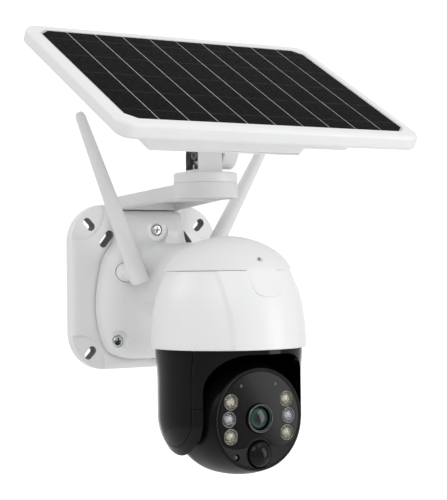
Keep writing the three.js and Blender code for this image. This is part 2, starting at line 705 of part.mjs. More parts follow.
// ---------------------------------------------------------------- tilting head
function tiltDrive() {
  const gearPitch = (MODULE * TILT_GEAR_TEETH) / 2;
  const pinionPitch = (MODULE * TILT_PINION_TEETH) / 2;
  const pinionY = DOME_Y + gearPitch + pinionPitch;
  // Turned to lie along +x, a gear's own +X points at -z and its +Y stays at +y.
  const largePhase = HALF_TURN / 2 + HALF_TURN / TILT_GEAR_TEETH;
  const large = gear(TILT_GEAR_TEETH, GEAR_WIDTH, AXLE_RADIUS + GAP, largePhase);
  add(camera, "tilt_gear", solid(along(large, "x").translate(TILT_GEAR_X, DOME_Y, TILT_Z)), NYLON);
  const small = gear(TILT_PINION_TEETH, GEAR_WIDTH, 0, -HALF_TURN / 2);
  const lying = { axis: "x", at: [0, pinionY, TILT_Z] };
  const shaft = rod(MOTOR_SHAFT, TILT_GEAR_X + 1, -19, { ...lying, segments: TINY });
  const pinion = join(solid(along(small, "x").translate(TILT_GEAR_X, pinionY, TILT_Z)), shaft);
  add(camera, "tilt_pinion", pinion, NYLON);
  const motor = cut(
    rod(10.3, -24.6, -7, lying),
    rod(MOTOR_SHAFT + 0.4, -30, -18, { ...lying, segments: TINY }),
  );
  add(camera, "tilt_motor", motor, TIN);
}

// The glossy plate's outline: a disc whose foot rises in an arch over the sensor dome.
function plateOutline(radius) {
  const shape = new THREE.Shape();
  const start = -29 * RAD;
  const arch = SENSOR_DOME.arch;
  const archEnd = Math.asin(-0.5);
  shape.absarc(0, 0, radius, start, HALF_TURN - start, false);
  const [ax, az] = [arch * Math.cos(archEnd), SENSOR_DOME.z - arch * Math.sin(archEnd)];
  shape.quadraticCurveTo(-20, -22.5, -ax - 1, az - 0.6);
  shape.absarc(0, SENSOR_DOME.z, arch, HALF_TURN + archEnd, -archEnd, true);
  shape.quadraticCurveTo(20, -22.5, radius * Math.cos(start), radius * Math.sin(start));
  shape.closePath();
  return shape;
}

function headParts() {
  const at = [0, DOME_Y, TILT_Z];
  const facing = { axis: "-y", at, segments: LARGE };
  const forward = (x, z) => ({ axis: "-y", at: [x, DOME_Y, TILT_Z + z], segments: SMALL });
  const outside = HEAD_PROFILE.map(([r, d]) => [r, Math.max(d, GAP / 2)]);
  const inside = [
    [0, INSIDE_FACE],
    [33, INSIDE_FACE],
    [35, 33.5],
    [37, 26],
    [38.5, 17],
    [39.3, 8],
    [HEAD_RADIUS - WALL, GAP / 2],
  ];
  const bore = rod(AXLE_RADIUS + 0.4, -60, 60, { axis: "x", at });
  const openings = [
    rod(LENS.ring + GAP, 30, 50, { ...forward(0, LENS.z), segments: MEDIUM }),
    rod(SENSOR_DOME.radius + GAP, 30, 50, { ...forward(0, SENSOR_DOME.z), segments: MEDIUM }),
    rod(SENSOR_HOLE.radius, 30, 50, forward(SENSOR_HOLE.x, SENSOR_HOLE.z)),
    ...LAMP_SPOTS.map(([, x, z]) => rod(LAMP_RADIUS + GAP, 30, 50, forward(x, z))),
  ];
  const seat = extruded(plateOutline(FACE_PLATE_RADIUS + GAP), 10, {
    axis: "-y",
    at: [0, DOME_Y - FACE_OUT + PLATE_RECESS, TILT_Z],
    curveSegments: 10,
  });
  const front = cut(turned([...inside, ...outside, [0, FACE_OUT]], facing), seat, bore, ...openings);
  add(camera, "head_front_shell", front, BLACK_SATIN);

  const plate = extruded(plateOutline(FACE_PLATE_RADIUS), PLATE_RECESS - GAP, {
    axis: "-y",
    at: [0, DOME_Y - FACE_OUT + PLATE_RECESS - GAP, TILT_Z],
    curveSegments: 10,
  });
  add(camera, "face_plate", cut(plate, ...openings), BLACK_GLOSS);

  const back = [];
  const steps = 6;
  for (let i = 0; i <= steps; i++) {
    const angle = ((HALF_TURN / 2) * i) / steps;
    back.push([Math.cos(angle), Math.sin(angle)]);
  }
  const sphere = (radius) => back.map(([c, s]) => [radius * c, Math.max(radius * s, GAP / 2)]);
  const outer = sphere(HEAD_RADIUS);
  outer[steps][0] = 0;
  const inner = sphere(HEAD_RADIUS - WALL).reverse();
  inner[0][0] = 0;
  const rear = turned([...inner, ...outer], { axis: "y", at, segments: LARGE });
  add(camera, "head_rear_shell", cut(rear, bore), BLACK_SATIN);

  const [bezel, lensBack, lensFront] = [LENS.ring, 29.8, FACE_OUT + LENS.proud];
  const ringProfile = [
    [8, lensBack],
    [bezel, lensBack],
    [bezel, lensFront - 0.8],
    [bezel - 0.9, lensFront],
    [9, lensFront],
    [8, 38.5],
    [8, lensBack],
  ];
  const ring = turned(ringProfile, { ...forward(0, LENS.z), segments: MEDIUM });
  add(camera, "lens_ring", ring, BLACK_SATIN);
  const pane = LENS.glass;
  const glassProfile = [[0, 30.5], [pane, 30.5], [pane, 37.2], [6, 38.7], [3.2, 39.6], [0, 39.9]];
  const glass = turned(glassProfile, { ...forward(0, LENS.z), segments: MEDIUM });
  add(camera, "lens_glass", glass, GLASS);
  const module = block(-15, 15, DOME_Y - 29.4, DOME_Y - 15, TILT_Z - 14.5, TILT_Z + 15.5);
  add(camera, "camera_module", module, BLACK_SATIN);
  const disc = rod(31, 30, 31.5, { ...facing, segments: MEDIUM });
  add(camera, "lamp_board", cut(disc, rod(LENS.ring + 1, 20, 40, forward(0, LENS.z))), BOARD);
  for (const [name, x, z] of LAMP_SPOTS) {
    const r = LAMP_RADIUS;
    const lamp = turned([[0, 31.9], [r, 31.9], [r, 38.1], [4.4, 39], [2.4, 39.4], [0, 39.5]], forward(x, z));
    add(camera, name, lamp, LAMP);
  }
  const { radius, proud } = SENSOR_DOME;
  const crown = [[radius, 39.2], [8.5, 41.3], [6.3, 42.8], [3.3, 43.6], [0, FACE_OUT + proud]];
  const domeAt = { ...forward(0, SENSOR_DOME.z), segments: MEDIUM };
  const dome = turned([[0, 36.8], [radius, 36.8], ...crown], domeAt);
  add(camera, "motion_sensor_lens", dome, BLACK_GLOSS);
  add(camera, "motion_sensor", rod(4.5, 31.9, 36.3, forward(0, SENSOR_DOME.z + 1.5)), TIN);
  add(camera, "light_sensor", rod(2.1, 31.9, 37.6, forward(SENSOR_HOLE.x, SENSOR_HOLE.z)), LAMP);
}

// ---------------------------------------------------------------- antennas
function antennas() {
  for (const [side, sx] of [["left", -1], ["right", 1]]) {
    const group = new THREE.Group();
    group.position.set(sx * ANTENNA.x, ANTENNA.y, ANTENNA.z);
    group.rotation.y = sx * ANTENNA_LEAN[side] * RAD;
    camera.add(group);
    const { tail, base, tip, length } = ANTENNA;
    const end = length - tail;
    const profile = [
      [0, -tail],
      [base - 1.2, -tail],
      [base, 1 - tail],
      [tip + 0.1, end - 3.5],
      [tip - 1.1, end - 0.9],
      [0, end],
    ];
    const stick = turned(profile, { segments: SMALL });
    const knuckle = rod(KNUCKLE_RADIUS, 0, SOCKET.front - ANTENNA.y - 0.4, { axis: "y" });
    add(group, "antenna_" + side, join(stick, knuckle), WHITE);
  }
}

// ---------------------------------------------------------------- arm and swivel
function armParts() {
  const slab = (y, { halfWidth, bottom, top }) =>
    [[-halfWidth, bottom], [halfWidth, bottom], [halfWidth, top], [-halfWidth, top]].map(
      ([x, z]) => new THREE.Vector3(x, y, z),
    );
  const at = [0, PUCK.y, 0];
  const bar = skinned([slab(-PLATE_THICK - GAP, ARM_WALL), slab(PUCK.y + 3, ARM_TIP)]);
  const heel = block(-ARM_WALL.halfWidth, ARM_WALL.halfWidth, -PLATE_THICK - 1, -1, 66, ARM_WALL.top);
  const end = rod(PUCK.radius, PUCK.bottom, PUCK.seam, { at, segments: LARGE });
  const bores = join(rod(3.1, 60, 90, { at }), rod(6, 60, PUCK.bottom + 3.2, { at }));
  add(camera, "panel_arm", cut(join(bar, heel, end), bores), WHITE);

  const { radius, seam, top } = PUCK;
  const base = seam + GAP;
  const disc = turned(
    [[0, base], [radius, base], [radius, top - 2], [radius - 0.7, top - 0.6], [radius - 2.2, top], [0, top]],
    { at, segments: LARGE },
  );
  add(camera, "swivel_disc", cut(disc, rod(3.1, 60, top - 1, { at })), WHITE);
  const screwHead = rod(5.6, PUCK.bottom + 0.4, PUCK.bottom + 2.9, { at });
  add(camera, "swivel_screw", join(screwHead, rod(2.8, PUCK.bottom + 2.5, top - 1.4, { at })), STEEL);
  hingeParts();
}

// The post on the swivel, and the panel's lug beside it, joined by one bolt along x.
function hingeParts() {
  const { top } = PUCK;
  const bolt = BOLT_RADIUS + GAP;
  const axis = [0, HINGE.y, HINGE.z];
  const half = POST.radius;
  const inner = half - POST.wall;
  const floor = POST.left + POST.pocket;
  const body = join(
    block(POST.left, POST.right, HINGE.y - half, HINGE.y + half, top + GAP, HINGE.z),
    rod(half, POST.left, POST.right, { axis: "x", at: axis, segments: MEDIUM }),
  );
  const pocket = join(
    block(POST.left - 5, floor, HINGE.y - inner, HINGE.y + inner, top + 2.2, HINGE.z),
    rod(inner, POST.left - 5, floor, { axis: "x", at: axis, segments: MEDIUM }),
  );
  const post = cut(body, pocket, rod(bolt, -30, 30, { axis: "x", at: axis }));
  add(camera, "hinge_post", post, WHITE);

  const hinge = frame(HINGE.y, HINGE.z);
  hinge.rotation.x = PANEL_TILT * RAD;
  const { left, right, radius, flange } = LUG;
  const lugBody = join(
    rod(radius, left, right, { axis: "x", segments: MEDIUM }),
    block(left, right, -radius, radius, 0, HINGE.reach - 1),
    block(flange.left, flange.right, -flange.half, flange.half, HINGE.reach - flange.thick, HINGE.reach),
  );
  const nutPocket = rod(NUT_RADIUS + 2 * GAP, right - 3.6, 40, { axis: "x" });
  add(hinge, "panel_lug", cut(lugBody, nutPocket, rod(bolt, -30, 30, { axis: "x" })), WHITE);
  const hexagon = { axis: "x", segments: 6 };
  const head = rod(BOLT_HEAD, floor + GAP - 4.6, floor - GAP, hexagon);
  add(hinge, "hinge_bolt", join(head, rod(BOLT_RADIUS, floor - 1, right - 0.5, { axis: "x" })), STEEL);
  const nut = tube(NUT_RADIUS, BOLT_RADIUS + 2 * GAP, right - 3.3, right - 0.6, hexagon);
  add(hinge, "hinge_nut", nut, STEEL);
}

// ---------------------------------------------------------------- solar panel
function polygon(corners) {
  return new THREE.Shape(corners.map(([x, y]) => new THREE.Vector2(x, y)));
}

function chamferedRectangle(halfWidth, halfHeight, chamfer) {
  const [w, h, c] = [halfWidth, halfHeight, chamfer];
  const right = [[w - c, -h], [w, c - h], [w, h - c], [w - c, h]];
  const left = right.map(([x, y]) => [-x, -y]);
  return polygon([...right, ...left]);
}

// The box under the panel, seen from the front: a deep part, then a shallow one on the right.
function boxOutline(inset) {
  const roof = -PANEL.thick - GAP;
  const [deep, shallow] = [roof - BACK_BOX.deep + inset, roof - BACK_BOX.shallow + inset];
  return polygon([
    [-103 + 2 * inset, roof],
    [-86 + inset, deep],
    [38 - inset, deep],
    [41 - inset, shallow],
    [78 - inset, shallow],
    [86 - 2 * inset, roof],
  ]);
}

function panelParts() {
  const panel = frame(PANEL_CENTRE.y, PANEL_CENTRE.z);
  panel.rotation.x = PANEL_TILT * RAD;
  const { width, depth, thick, corner, edge } = PANEL;
  const under = -CELLS.sunk - CELLS.thick; // height of the laminate's underside
  const cellShape = (margin) =>
    chamferedRectangle(CELLS.width / 2 + margin, CELLS.depth / 2 + margin, CELLS.chamfer);
  const body = extruded(roundedRectangle(width / 2, depth / 2, corner), thick, { at: [0, 0, -thick], edge });
  const recess = extruded(cellShape(GAP), 20, { at: [0, 0, under - GAP] });
  const { halfWidth, halfDepth } = TRAY;
  const tray = block(-halfWidth, halfWidth, -halfDepth, halfDepth, TRAY.floor - thick, 5);
  add(panel, "panel_frame", cut(body, recess, tray), WHITE);
  const sheet = extruded(cellShape(0), CELLS.thick, { at: [0, 0, under] });
  add(panel, "solar_laminate", sheet, CELL);
  const { front, back } = BACK_BOX;
  const box = extruded(boxOutline(0), back - front, { axis: "-y", at: [0, back, 0] });
  const room = extruded(boxOutline(WALL), back - front - 2 * WALL, { axis: "-y", at: [0, back - WALL, 0] });
  add(panel, "panel_back_box", cut(box, room), WHITE);
}

wallParts();
domeParts();
panDrive();
yokeParts();
tiltDrive();
headParts();
antennas();
armParts();
panelParts();

export default camera;
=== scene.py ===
"""Looks of the solar-powered pan-tilt camera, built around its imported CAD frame.

Shapes are written in millimetres in the CAD frame and turned into metres by the piece builders.
"""

import json
import math

import bmesh
import bpy
import numpy as np
from mathutils import Matrix, Vector


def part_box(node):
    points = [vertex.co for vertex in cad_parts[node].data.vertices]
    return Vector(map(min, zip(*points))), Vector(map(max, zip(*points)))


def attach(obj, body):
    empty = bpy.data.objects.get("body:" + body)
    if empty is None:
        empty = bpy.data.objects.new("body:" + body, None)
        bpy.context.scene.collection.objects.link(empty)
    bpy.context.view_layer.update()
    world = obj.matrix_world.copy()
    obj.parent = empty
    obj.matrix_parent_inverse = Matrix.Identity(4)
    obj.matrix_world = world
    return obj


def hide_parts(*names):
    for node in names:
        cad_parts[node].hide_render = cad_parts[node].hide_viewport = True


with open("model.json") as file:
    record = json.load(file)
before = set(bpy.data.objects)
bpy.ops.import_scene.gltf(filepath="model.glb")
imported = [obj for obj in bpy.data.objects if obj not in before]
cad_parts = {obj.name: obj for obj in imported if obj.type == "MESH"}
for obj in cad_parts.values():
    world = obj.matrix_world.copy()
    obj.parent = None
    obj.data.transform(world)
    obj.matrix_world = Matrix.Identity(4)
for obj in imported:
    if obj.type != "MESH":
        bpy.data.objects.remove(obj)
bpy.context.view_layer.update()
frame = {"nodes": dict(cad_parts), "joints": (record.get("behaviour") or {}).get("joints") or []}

MM = 0.001
TAU = 2 * math.pi

# ---------------------------------------------------------------- places, from the frame
JOINTS = {j["name"]: [c / MM for c in j["pos_m"]] for j in frame["joints"]}
DOME_Y = JOINTS["head_pan"][1]
TILT_Z = JOINTS["head_tilt"][2]
HINGE = JOINTS["panel_tilt"]
PUCK_Y = JOINTS["panel_turn"][1]


def box_mm(node):
    low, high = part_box(node)
    return [c / MM for c in low], [c / MM for c in high]


PLATE_LOW, PLATE_HIGH = box_mm("wall_plate")
PLATE_FRONT = PLATE_LOW[1]
COVER_BACK = box_mm("front_cover")[1][1]
FACE_Y = box_mm("head_front_shell")[0][1]

# ---------------------------------------------------------------- driving dimensions (mm)
PLATE_CORNER = 30
PLATE_EDGE = 4
SLOT_PITCH = 50
PAD = {"radius": 23.7, "centre": 60.5, "depth": 2.2}
COVER_SIDE = [
    (0, -56.3), (16, -55.7), (28, -53.6), (37.5, -48.5), (42.5, -39), (45.8, -26), (46.8, -10),
    (44.4, 8), (39.9, 24), (32.5, 35), (29.2, 46), (28.5, 57), (24.5, 60.7), (0, 60.7),
]
COVER_CENTRE_Z = 5
NECK = {"half_width": 18, "half_height": 25, "z": 9.5, "power": 0.86}
COVER_SCREWS = {"top": (0, 45.3, -26.6), "left": (-34, -41, -23.5), "right": (34, -41, -23.5)}
SKIRT = [(57.6, -42.2), (57.4, -34), (56.1, -18.6), (53.7, -5.5), (50.3, 4), (46.4, 12.95)]
CAP = [(46.3, 13.25), (42.5, 20), (36.2, 26.2), (28.1, 31.2), (19.4, 34.8), (9.8, 37.3), (0, 38.2)]
WALL = 2.5
YOKE_TOP = -42.6
EAR_DROP = 49
EAR_POWER = 1.75
YOKE_RADIUS = 52
EAR_BOTTOM = -118.2
EAR_INNER = 42.4
SIDE_SEAM = 46.4
ARCH = {"half": 41.6, "top": -45.4, "corner": 27, "back_top": -74}
LENS_Z = 0.5
LAMPS = [(-23.3, 13), (-25, 1.1), (-23.7, -11), (23.3, 13), (25, 1.1), (23.7, -11)]
SENSOR = {"z": -24.7, "radius": 9.4, "arch": 11.3}
PANEL = {"width": 250, "depth": 175, "thick": 12, "corner": 11}
PANEL_CENTRE = (0, -126.87, 151.85)
PANEL_TILT = math.radians(29.48)
UNDERBOX = {"front": -64, "back": 36, "deep": 17.8, "shallow": 12.2}
CELLS = {"count": 10, "pitch": 23.2, "width": 22.5, "half_depth": 77.6, "chamfer": 7.4}
BUSBARS = {"count": 5, "pitch": 31.2}
ANTENNA_LEAN = {"left": math.radians(21.8), "right": math.radians(31)}
SEAM = 0.15  # half of a parting line


# ---------------------------------------------------------------- outlines
def rounded(points, radii, closed=True, steps=6):
    """A polyline whose corners are arcs: radii is one number or one for each point."""
    points = [np.array(p, float) for p in points]
    count = len(points)
    if not isinstance(radii, (list, tuple)):
        radii = [radii] * count
    out = []
    for i, p in enumerate(points):
        if radii[i] <= 0 or (not closed and i in (0, count - 1)):
            out.append(tuple(p))
            continue
        a, b = points[i - 1] - p, points[(i + 1) % count] - p
        la, lb = np.linalg.norm(a), np.linalg.norm(b)
        a, b = a / la, b / lb
        half = math.acos(max(-1, min(1, float(a @ b)))) / 2
        reach = min(radii[i] / math.tan(half), la * 0.48, lb * 0.48)
        start, end = p + a * reach, p + b * reach
        for k in range(steps + 1):
            t = k / steps
            out.append(tuple((1 - t) ** 2 * start + 2 * t * (1 - t) * p + t * t * end))
    return out


def bezier(t, a, b, c, d):
    """The point at t on a cubic Bezier curve with these four controls."""
    return (1 - t) ** 3 * a + 3 * (1 - t) ** 2 * t * b + 3 * (1 - t) * t * t * c + t**3 * d


def smooth_line(points, count, closed=False):
    """A Catmull-Rom curve through the points, resampled evenly."""
    p = np.array(points, float)
    n = len(p)
    fine = []
    spans = n if closed else n - 1
    for i in range(spans):
        if closed:
            q = [p[(i + k - 1) % n] for k in range(4)]
        else:
            q = [p[max(i - 1, 0)], p[i], p[i + 1], p[min(i + 2, n - 1)]]
        for k in range(12):
            t = k / 12
            fine.append(
                0.5 * (2 * q[1] + (q[2] - q[0]) * t + (2 * q[0] - 5 * q[1] + 4 * q[2] - q[3]) * t * t
                       + (3 * q[1] - q[0] - 3 * q[2] + q[3]) * t ** 3)
            )
    fine.append(p[0] if closed else p[-1])
    fine = np.array(fine)
    along = np.concatenate([[0], np.cumsum(np.linalg.norm(np.diff(fine, axis=0), axis=1))])
    wanted = np.linspace(0, along[-1], count, endpoint=not closed)
    return np.stack([np.interp(wanted, along, fine[:, k]) for k in range(fine.shape[1])], 1)


def rectangle(half_x, half_y, corner, x=0, y=0, steps=12):
    corners = [(x - half_x, y - half_y), (x + half_x, y - half_y),
               (x + half_x, y + half_y), (x - half_x, y + half_y)]
    return arc_corners(corners, corner, steps)


def arc_corners(corners, radius, steps):
    """A convex polygon, counter-clockwise, with true circular arcs at its corners."""
    out = []
    count = len(corners)
    for i, c in enumerate(corners):
        p = np.array(c, float)
        a = np.array(corners[i - 1], float) - p
        b = np.array(corners[(i + 1) % count], float) - p
        a, b = a / np.linalg.norm(a), b / np.linalg.norm(b)
        half = math.acos(float(a @ b)) / 2
        centre = p + (a + b) / np.linalg.norm(a + b) * radius / math.sin(half)
        start, end = p + a * radius / math.tan(half) - centre, p + b * radius / math.tan(half) - centre
        a0 = math.atan2(start[1], start[0])
        turn = (math.atan2(end[1], end[0]) - a0 + math.pi) % TAU - math.pi
        for k in range(steps + 1):
            angle = a0 + turn * k / steps
            out.append((centre[0] + radius * math.cos(angle), centre[1] + radius * math.sin(angle)))
    return out


def circle(radius, count=48, x=0, y=0):
    angles = [TAU * i / count for i in range(count)]
    return [(x + radius * math.cos(a), y + radius * math.sin(a)) for a in angles]


def inset(outline, amount):
    """The outline moved inwards along its corner normals."""
    p = np.array(outline, float)
    before, after = np.roll(p, 1, 0), np.roll(p, -1, 0)
    d1, d2 = p - before, after - p
    d1 /= np.linalg.norm(d1, axis=1)[:, None] + 1e-12
    d2 /= np.linalg.norm(d2, axis=1)[:, None] + 1e-12
    n = np.stack([-(d1 + d2)[:, 1], (d1 + d2)[:, 0]], 1)
    n /= np.linalg.norm(n, axis=1)[:, None] + 1e-12
    share = np.maximum((n * np.stack([-d1[:, 1], d1[:, 0]], 1)).sum(1), 0.4)
    return p + n * (amount / share)[:, None]


# ---------------------------------------------------------------- meshes
# (u, v, height) to (x, y, z): an extrusion's or a lathe's axis runs along the named direction.
AXES = {
    "z": lambda u, v, h: (u, v, h),
    "-y": lambda u, v, h: (u, -h, v),
    "y": lambda u, v, h: (-u, h, v),
    "x": lambda u, v, h: (h, u, v),
    "-x": lambda u, v, h: (-h, -u, v),
}


def place(points, axis, at):
    turn = AXES[axis]
    return [tuple(a + b for a, b in zip(turn(*p), at)) for p in points]


def skin(rings, loop=False, caps=True):
    """Faces over rings of points; loop joins the last ring to the first."""
    count = len(rings[0])
    verts = [tuple(p) for ring in rings for p in ring]
    faces = []
    rows = len(rings) if loop else len(rings) - 1
    for r in range(rows):
        a, b = r * count, ((r + 1) % len(rings)) * count
        for i in range(count):
            j = (i + 1) % count
            faces.append((a + i, a + j, b + j, b + i))
    if caps and not loop:
        faces.append(tuple(reversed(range(count))))
        faces.append(tuple(range((len(rings) - 1) * count, len(rings) * count)))
    return verts, faces


def lathe(profile, axis="z", at=(0, 0, 0), segments=96, shift=None):
    """A turned solid. The (radius, height) profile runs from axis to axis, or closes on itself when it
    stays off the axis. shift(angle, radius, height) gives a change of radius."""
    on_axis = profile[0][0] < 1e-6
    body = profile[1:-1] if on_axis else profile
    rings = []
    for r, h in body:
        ring = []
        for i in range(segments):
            angle = TAU * i / segments
            reach = r + (shift(angle, r, h) if shift else 0)
            ring.append((reach * math.cos(angle), reach * math.sin(angle), h))
        rings.append(place(ring, axis, at))
    if not on_axis:
        return skin(rings, loop=True)
    verts, faces = skin(rings, caps=False)
    last = (len(rings) - 1) * segments
    for height, start, flip in ((profile[0][1], 0, True), (profile[-1][1], last, False)):
        hub = len(verts)
        verts += place([(0, 0, height)], axis, at)
        for i in range(segments):
            a, b = start + i, start + (i + 1) % segments
            faces.append((b, a, hub) if flip else (a, b, hub))
    return verts, faces


def prism(outline, low, high, axis="z", at=(0, 0, 0), low_edge=0.0, high_edge=0.0, steps=5):
    """An extruded outline with rounded edges at both ends. A negative edge flares the end outwards."""
    levels = []
    for k in range(steps + 1):
        angle = math.pi / 2 * k / steps
        levels.append((low + abs(low_edge) * (1 - math.cos(angle)), low_edge * (1 - math.sin(angle))))
    for k in range(steps + 1):
        angle = math.pi / 2 * k / steps
        levels.append((high - abs(high_edge) * (1 - math.sin(angle)), high_edge * (1 - math.cos(angle))))
    kept = [levels[0]]
    for level in levels[1:]:
        if abs(level[0] - kept[-1][0]) + abs(level[1] - kept[-1][1]) > 1e-6:
            kept.append(level)
    rings = [place([(x, y, h) for x, y in inset(outline, amount)], axis, at) for h, amount in kept]
    return skin(rings)


def solid(name, mesh, material=None):
    """A Blender object in metres from vertices in millimetres, with its faces turned outwards."""
    verts, faces = mesh
    data = bpy.data.meshes.new(name)
    data.from_pydata([tuple(c * MM for c in v) for v in verts], [], faces)
    bm = bmesh.new()
    bm.from_mesh(data)
    bmesh.ops.remove_doubles(bm, verts=bm.verts, dist=1e-7)
    bmesh.ops.recalc_face_normals(bm, faces=bm.faces)
    bm.to_mesh(data)
    bm.free()
    made = bpy.data.objects.new(name, data)
    bpy.context.scene.collection.objects.link(made)
    if material:
        data.materials.append(material)
    return made


def settle(thing):
    """Applies every modifier to the mesh."""
    bpy.context.view_layer.update()
    evaluated = thing.evaluated_get(bpy.context.evaluated_depsgraph_get())
    data = bpy.data.meshes.new_from_object(evaluated)
    thing.modifiers.clear()
    thing.data = data
    return thing


def carve(thing, *tools, how="DIFFERENCE", own_material=False):
    """Joins or cuts a solid with others, which are used up."""
    for tool in tools:
        m = thing.modifiers.new("cut", "BOOLEAN")
        m.operation = how
        m.solver = "MANIFOLD"
        m.object = tool
        m.material_mode = "TRANSFER" if own_material else "INDEX"
        settle(thing)
        bpy.data.objects.remove(tool)
    return thing


def soften(thing, width, angle=35, segments=3):
    """Rounds a solid's sharp edges."""
    bm = bmesh.new()
    bm.from_mesh(thing.data)
    bmesh.ops.remove_doubles(bm, verts=bm.verts, dist=width * 0.25 * MM)
    bmesh.ops.dissolve_degenerate(bm, edges=bm.edges, dist=1e-7)
    bm.to_mesh(thing.data)
    bm.free()
    m = thing.modifiers.new("edge", "BEVEL")
    m.width = width * MM
    m.segments = segments
    m.limit_method = "ANGLE"
    m.angle_limit = math.radians(angle)
    m.use_clamp_overlap = True
    m.miter_outer = "MITER_ARC"
    return settle(thing)


def done(thing, material, body, slot, *nodes, sharp=32, matrix=None):
    """Shades a piece, places it, hangs it on the body it rides on, and hides the CAD parts it stands for."""
    if not thing.data.materials:
        thing.data.materials.append(material)
    if matrix is not None:
        thing.matrix_world = matrix
    thing.data.polygons.foreach_set("use_smooth", [True] * len(thing.data.polygons))
    thing.data.set_sharp_from_angle(angle=math.radians(sharp))
    normals = thing.modifiers.new("normals", "WEIGHTED_NORMAL")
    normals.keep_sharp = True
    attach(thing, body)
    if nodes:
        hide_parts(*nodes)
    return thing


# ---------------------------------------------------------------- materials
class Look:
    """A principled material with a few helpers for its procedural nodes."""

    def __init__(self, name, **sockets):
        self.material = bpy.data.materials.new(name)
        self.material.use_nodes = True
        self.tree = self.material.node_tree
        self.shader = self.tree.nodes["Principled BSDF"]
        for key, value in sockets.items():
            self.shader.inputs[key.replace("_", " ")].default_value = value
        self.coords = self.tree.nodes.new("ShaderNodeTexCoord").outputs["Object"]

    def node(self, kind, **settings):
        made = self.tree.nodes.new(kind)
        for key, value in settings.items():
            setattr(made, key, value)
        return made

    def link(self, out, socket):
        self.tree.links.new(out, socket)
        return socket

    def noise(self, scale, detail=3, roughness=0.55):
        n = self.node("ShaderNodeTexNoise")
        n.inputs["Scale"].default_value = scale
        n.inputs["Detail"].default_value = detail
        n.inputs["Roughness"].default_value = roughness
        self.link(self.coords, n.inputs["Vector"])
        return n.outputs["Fac"]

    def spread(self, value, low, high, start=0.3, end=0.7):
        m = self.node("ShaderNodeMapRange")
        for key, number in (("From Min", start), ("From Max", end), ("To Min", low), ("To Max", high)):
            m.inputs[key].default_value = number
        self.link(value, m.inputs["Value"])
        return m.outputs["Result"]

    def ramp(self, value, stops):
        r = self.node("ShaderNodeValToRGB")
        while len(r.color_ramp.elements) < len(stops):
            r.color_ramp.elements.new(0.5)
        for element, (at, colour) in zip(r.color_ramp.elements, stops):
            element.position = at
            element.color = (*colour, 1)
        self.link(value, r.inputs["Fac"])
        return r.outputs["Color"]

    def math(self, operation, a, b=None):
        m = self.node("ShaderNodeMath", operation=operation)
        for socket, value in zip(m.inputs, (a, b)):
            if value is None:
                continue
            if isinstance(value, (int, float)):
                socket.default_value = value
            else:
                self.link(value, socket)
        return m.outputs[0]

    def mix(self, share, a, b):
        m = self.node("ShaderNodeMix", data_type="RGBA")
        self.link(share, m.inputs[0])
        for socket, value in ((m.inputs[6], a), (m.inputs[7], b)):
            if isinstance(value, tuple):
                socket.default_value = (*value, 1)
            else:
                self.link(value, socket)
        return m.outputs[2]

    def bump(self, height, strength, distance):
        b = self.node("ShaderNodeBump")
        b.inputs["Strength"].default_value = strength
        b.inputs["Distance"].default_value = distance * MM
        self.link(height, b.inputs["Height"])
        self.link(b.outputs["Normal"], self.shader.inputs["Normal"])

    def colour(self, out):
        self.link(out, self.shader.inputs["Base Color"])

    def rough(self, out):
        self.link(out, self.shader.inputs["Roughness"])


def tone(colour, share):
    return tuple(c * share for c in colour)


def moulded(name, colour, roughness, grain, depth, vary=0.03, speck=0.1, shine=0.5):
    """Injection-moulded plastic: soft blotches of tone, fine specks, and a spark-eroded grain."""
    look = Look(name, Specular_IOR_Level=shine)
    blotch = look.ramp(
        look.noise(22, 4), [(0.32, tone(colour, 1 - vary)), (0.68, tone(colour, 1 + vary * 0.5))]
    )
    dust = look.spread(look.noise(1400, 2), 0, speck, 0.66, 0.78)
    look.colour(look.mix(dust, blotch, tone(colour, 0.75)))
    look.rough(look.spread(look.noise(60, 5), roughness * 0.86, roughness * 1.16))
    look.bump(look.noise(grain, 3, 0.6), 0.35, depth)
    return look.material


def glossy_black(name, roughness=0.09):
    """Polished black plastic with faint wiping marks in its gloss."""
    look = Look(name, Specular_IOR_Level=0.17)
    shades = [(0.3, (0.0035, 0.0035, 0.004)), (0.7, (0.0055, 0.0055, 0.006))]
    look.colour(look.ramp(look.noise(30, 3), shades))
    look.rough(look.spread(look.noise(90, 6, 0.7), roughness * 0.75, roughness * 1.35))
    look.bump(look.noise(260, 2), 0.12, 0.02)
    return look.material


def metal(name, colour, roughness, grain=900):
    """Plated or brushed metal with fine scratches and slightly dulled patches."""
    look = Look(name, Metallic=1.0)
    look.colour(look.ramp(look.noise(180, 4), [(0.3, tone(colour, 0.8)), (0.7, colour)]))
    look.rough(look.spread(look.noise(420, 5), roughness * 0.7, roughness * 1.5))
    look.bump(look.noise(grain, 4, 0.7), 0.25, 0.03)
    return look.material


def rubbery(name):
    look = Look(name)
    look.colour(look.ramp(look.noise(70, 4), [(0.3, (0.012, 0.012, 0.013)), (0.7, (0.03, 0.03, 0.032))]))
    look.rough(look.spread(look.noise(300, 4), 0.6, 0.85))
    look.bump(look.noise(1600, 4), 0.5, 0.08)
    return look.material


def stripes(look, value, pitch, half, soft):
    """1 on lines that repeat every pitch along a coordinate, in metres."""
    cell = look.math("ADD", look.math("DIVIDE", value, pitch), 0.5)
    offset = look.math("ABSOLUTE", look.math("SUBTRACT", look.math("FRACT", cell), 0.5))
    return look.spread(look.math("MULTIPLY", offset, pitch), 1, 0, half, half + soft)


